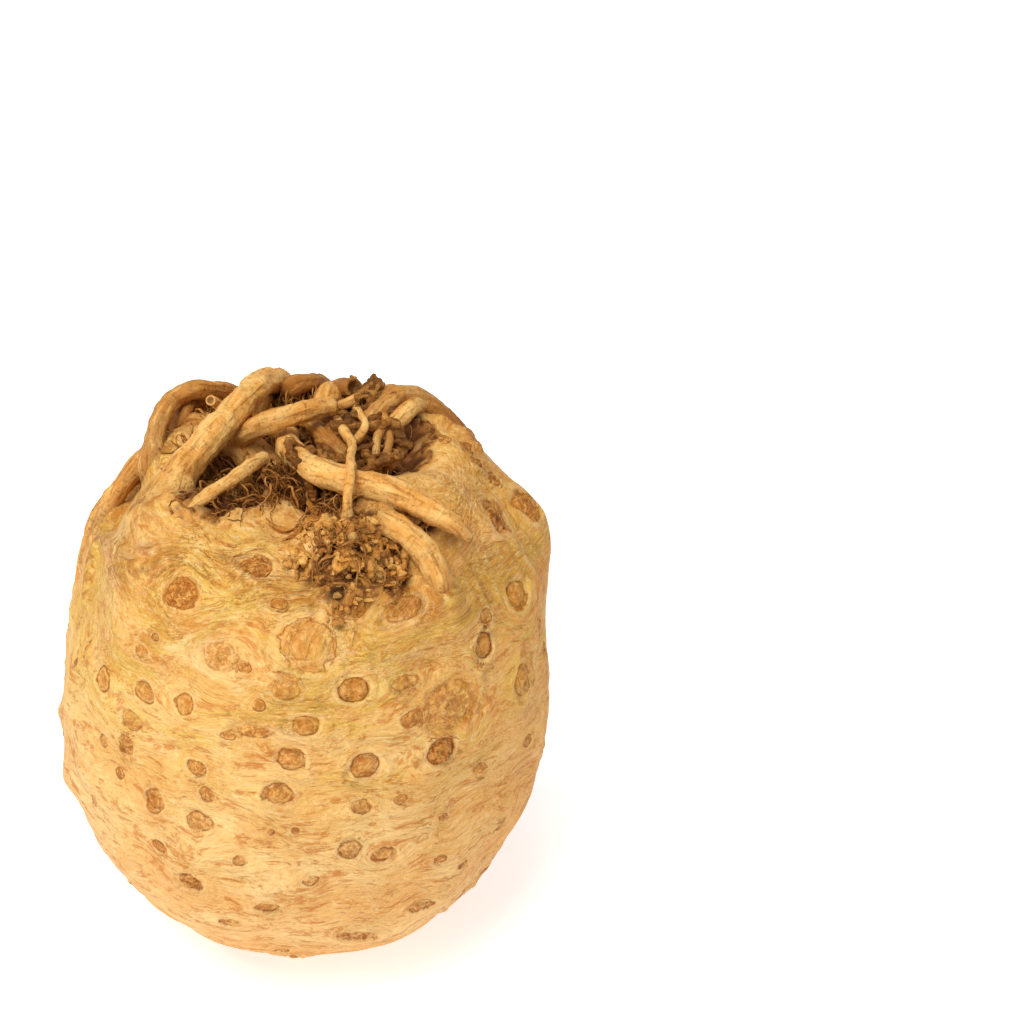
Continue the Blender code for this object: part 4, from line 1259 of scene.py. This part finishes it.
def skin():
    """The bulb's skin: ground, lines, scars, then brown skin and painted shade in the crevices beside
    roots, the torn skin in and below the hollow with painted shade deep in it, and the cut leaf end."""
    paint = Paint("celeriac_skin", SKIN_LIGHT)
    flow = paint.attribute("flow")
    crumbly, root_side_brown_and_shade, trimmed = paint.parts(paint.attribute("zones"))
    crease, depth, relief = paint.parts(paint.attribute("lines"))
    height = paint.parts(flow)[2]
    colour, mottle = ground_colour(paint, flow, height)
    fibres, strokes, dashes, brow = line_marks(paint, flow, height)
    flecks = paint.noise(flow, (0.55, 0.55, 1.1), 5.0, 0.72, 1.4, shift=(2, 5, 8))
    clear = 1.0 - crumbly
    colour = paint.layers(colour, [
        (fibres.step(0.5, 0.66) * (0.25 + 0.5 * brow), 204, 130, 44),
        (fibres.step(0.48, 0.32) * (0.25 + 0.3 * brow), 255, 222, 156),
        (strokes * clear * 0.8, 160, 88, 18),
        (dashes * clear * 0.8, 208, 122, 38),
        # Brown in the creases: corky lines, and painted shade in the folds.
        ((crease * 1.6).at_most(0.4) * clear, 204, 130, 44),
        # Painted highlight on the raised skin.
        (relief.step(0.05, 0.6) * clear * 0.25, 255, 228, 170),
        (flecks.step(0.54, 0.62) * clear * 0.4, 255, 228, 166),
        (flecks.step(0.46, 0.38) * clear * (0.3 + 0.2 * brow), 188, 112, 34),
    ])
    colour, scar_relief_mm = paint_scars(paint, colour)

    fibre = paint.noise(flow, (0.45, 0.45, 0.45), 5.0, 0.68, shift=(3, 1, 6))
    # Brown skin and painted shade beside the roots.
    colour = paint.layers(colour, [(root_side_brown_and_shade * fibre.step(0.35, 0.65) * 0.8, 170, 100, 28)])
    torn = paint.layers(tint(206, 140, 62, SKIN_LIGHT), [
        (fibre.step(0.4, 0.6), 112, 60, 12),
        # Painted shade in the low places of the torn skin, and painted highlight on its raised places.
        (relief.step(0.0, -1.0), 74, 38, 6),
        (relief.step(0.2, 1.0) * 0.75, 232, 178, 104),
        # Darker deep in the hollow and at the shadowed torn places: brown torn skin and painted shade.
        (depth.step(0.15, 0.7) * 0.8, 98, 50, 8),
    ])
    rings = paint.noise(flow, (0.35, 0.35, 0.35), 3.0, 0.6)
    cut = paint.mix(rings.step(0.4, 0.6), tint(222, 176, 112), tint(164, 108, 54))
    colour = paint.mix(trimmed, paint.mix(crumbly.step(0.3, 0.55), colour, torn), cut)

    ripple = paint.noise(flow, (0.25, 0.25, 1.1), 4.0, 0.62, 0.8, shift=(0, 6, 2))
    pores = paint.noise(flow, (1.3, 1.3, 1.6), 3.0, 0.6)
    shreds = paint.noise(flow, (0.45, 0.45, 0.45), 2.0, 0.6, shift=(3, 1, 6))
    bump_mm = 0.6 * ripple + 0.45 * mottle + 0.16 * pores - 0.1 * strokes - 0.15 * dashes + scar_relief_mm
    bump_mm = bump_mm + (crumbly + root_side_brown_and_shade * 0.5) * shreds * 1.2
    return paint.finished(colour, 0.5 + 0.3 * mottle, bump_mm)


bulb_piece.data.materials.append(skin())

# %% [markdown]
# ## Roots and rootlets
#
# A root's bark is tan with darker streaks along it and fine rings across. It also gets painted shade
# where it meets the skin and inside the cups of its broken ends, and some roots are painted darker, partly
# for their own brown bark and partly as painted shade where others shadow them. Its pattern uses the grain
# attribute: the distance along the root and the place round it, both in millimetres. For the net, the
# rootlets and the crumbs it is simply their place in space.

# %% Bark material
def bark(name, light, pale, dark, deep):
    """Bark from four colours: a light one with pale ridges, a dark one for streaks, pits and the brown
    roots, which is also painted shade on roots in the shadow of others, and a deep one for pits and for
    painted shade inside cups and near the skin."""
    paint = Paint(name)
    grain = paint.attribute("grain")
    shade, skin_contact_shade, cup = paint.parts(paint.attribute("tone"))
    streaks = paint.noise(grain, (0.14, 0.9, 0.9), 4.0, 0.62, 0.5)
    rings = paint.noise(grain, (1.3, 0.35, 0.35), 3.0, 0.6, 0.6, shift=(0, 4, 4))
    patches = paint.noise(grain, (0.16, 0.3, 0.3), 3.0, 0.6)
    pits = paint.noise(grain, (1.1, 1.1, 1.1), 4.0, 0.65)
    colour = paint.layers(tint(*light), [
        (patches.step(0.4, 0.62) * 0.75, *pale),
        # Brown bark on some roots, and painted shade on those in the shadow of others.
        (shade * (0.5 + 0.6 * patches), *dark),
        (streaks.step(0.52, 0.66) * 0.65, *dark),
        (rings.step(0.56, 0.7) * 0.45, *dark),
        (streaks.step(0.46, 0.32) * 0.5, *pale),
        (pits.step(0.52, 0.66) * 0.4, *dark),
        (pits.step(0.61, 0.74) * 0.4, *deep),
        # Painted shade where the bark meets the skin and inside the cups of broken ends.
        (skin_contact_shade * 0.5, *deep),
        (cup * 0.7, *deep),
    ])
    return paint.finished(colour, 0.52 + 0.3 * pits, 0.4 * streaks + 0.35 * rings - 0.3 * pits)


# For each bark: the pieces that have it, then its light, pale, dark and deep colour.
BARKS = {
    "root_bark": [(thick_piece, back_piece, clinging_piece),
                  (228, 162, 78), (248, 202, 122), (146, 84, 22), (72, 36, 5)],
    "net_bark": [(net_piece,), (142, 86, 28), (200, 142, 66), (80, 41, 7), (38, 17, 2)],
    "rootlet_bark": [(mat_piece, fuzz_piece), (190, 124, 50), (228, 168, 88), (122, 68, 18), (82, 40, 6)],
    "crumb_cork": [(crust_piece, crumb_piece),
                   (220, 152, 66), (246, 194, 108), (158, 92, 28), (100, 52, 10)],
}
for name, (pieces, *colours) in BARKS.items():
    material = bark(name, *colours)
    for piece in pieces:
        piece.data.materials.append(material)

# %% [markdown]
# ## Floor and light
#
# The photograph is a bright studio picture: a white ground that loses its edges, a big soft light from
# the upper left, a weak one lower down, and plenty of light from everywhere else, so that shadows stay
# pale.

# %% Floor
FLOOR_HALF_WIDTH, FLOOR_DROP = 6.0, 0.0002


def add_floor():
    """A wide flat sheet, just under the lowest point."""
    corners = np.array([(-1, -1, 0), (1, -1, 0), (1, 1, 0), (-1, 1, 0)]) * FLOOR_HALF_WIDTH
    mesh = bpy.data.meshes.new("floor")
    mesh.from_pydata(corners.tolist(), [], [(0, 1, 2, 3)])
    floor = bpy.data.objects.new("floor", mesh)
    floor.location.z = -FLOOR_DROP
    bpy.context.scene.collection.objects.link(floor)
    paint = Paint("white_ground")
    paint.plug(paint.shader, {"Base Color": (0.8, 0.8, 0.8, 1.0), "Roughness": 0.9,
                              "Emission Color": (1.0, 1.0, 1.0, 1.0), "Emission Strength": 0.55})
    mesh.materials.append(paint.material)
    floor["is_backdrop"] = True


add_floor()

# %% Lights
def add_light(name, place, size, brightness):
    """A square soft light aimed at the bulb. Power = 4 pi x distance squared x brightness, where
    brightness 1 lights a white surface that faces it to full white."""
    away = np.array(place) - HEART * MM
    data = bpy.data.lights.new(name, "AREA")
    data.size = size
    data.energy = 4 * pi * float(away @ away) * brightness
    back = unit(away)
    set_up(name, data, unit(np.cross([0.0, 0.0, 1.0], back)), back, place)


add_light("key", (-0.7, -0.9, 2.4), 1.6, 0.7)
add_light("fill", (-1.6, -2.0, 1.2), 1.6, 0.12)
world = bpy.data.worlds.new("studio")
world.use_nodes = True
world.node_tree.nodes["Background"].inputs["Color"].default_value = (1.0, 1.0, 1.0, 1.0)
world.node_tree.nodes["Background"].inputs["Strength"].default_value = 0.5
bpy.context.scene.world = world
bpy.context.scene.view_settings.view_transform = "Standard"

# %% [markdown]
# ## Done
#
# The finished look must stay the size of the solid, so its box is printed here, as the solid's was at the
# start.

# %% List the boxes and finish
look_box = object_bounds()
boxes = {"solid": solid_box, "look": look_box}
{name: [[float(c) for c in corner] for corner in box] for name, box in boxes.items()}
print("finished look:", [round(float(c) / MM, 1) for corner in look_box for c in corner], "mm")
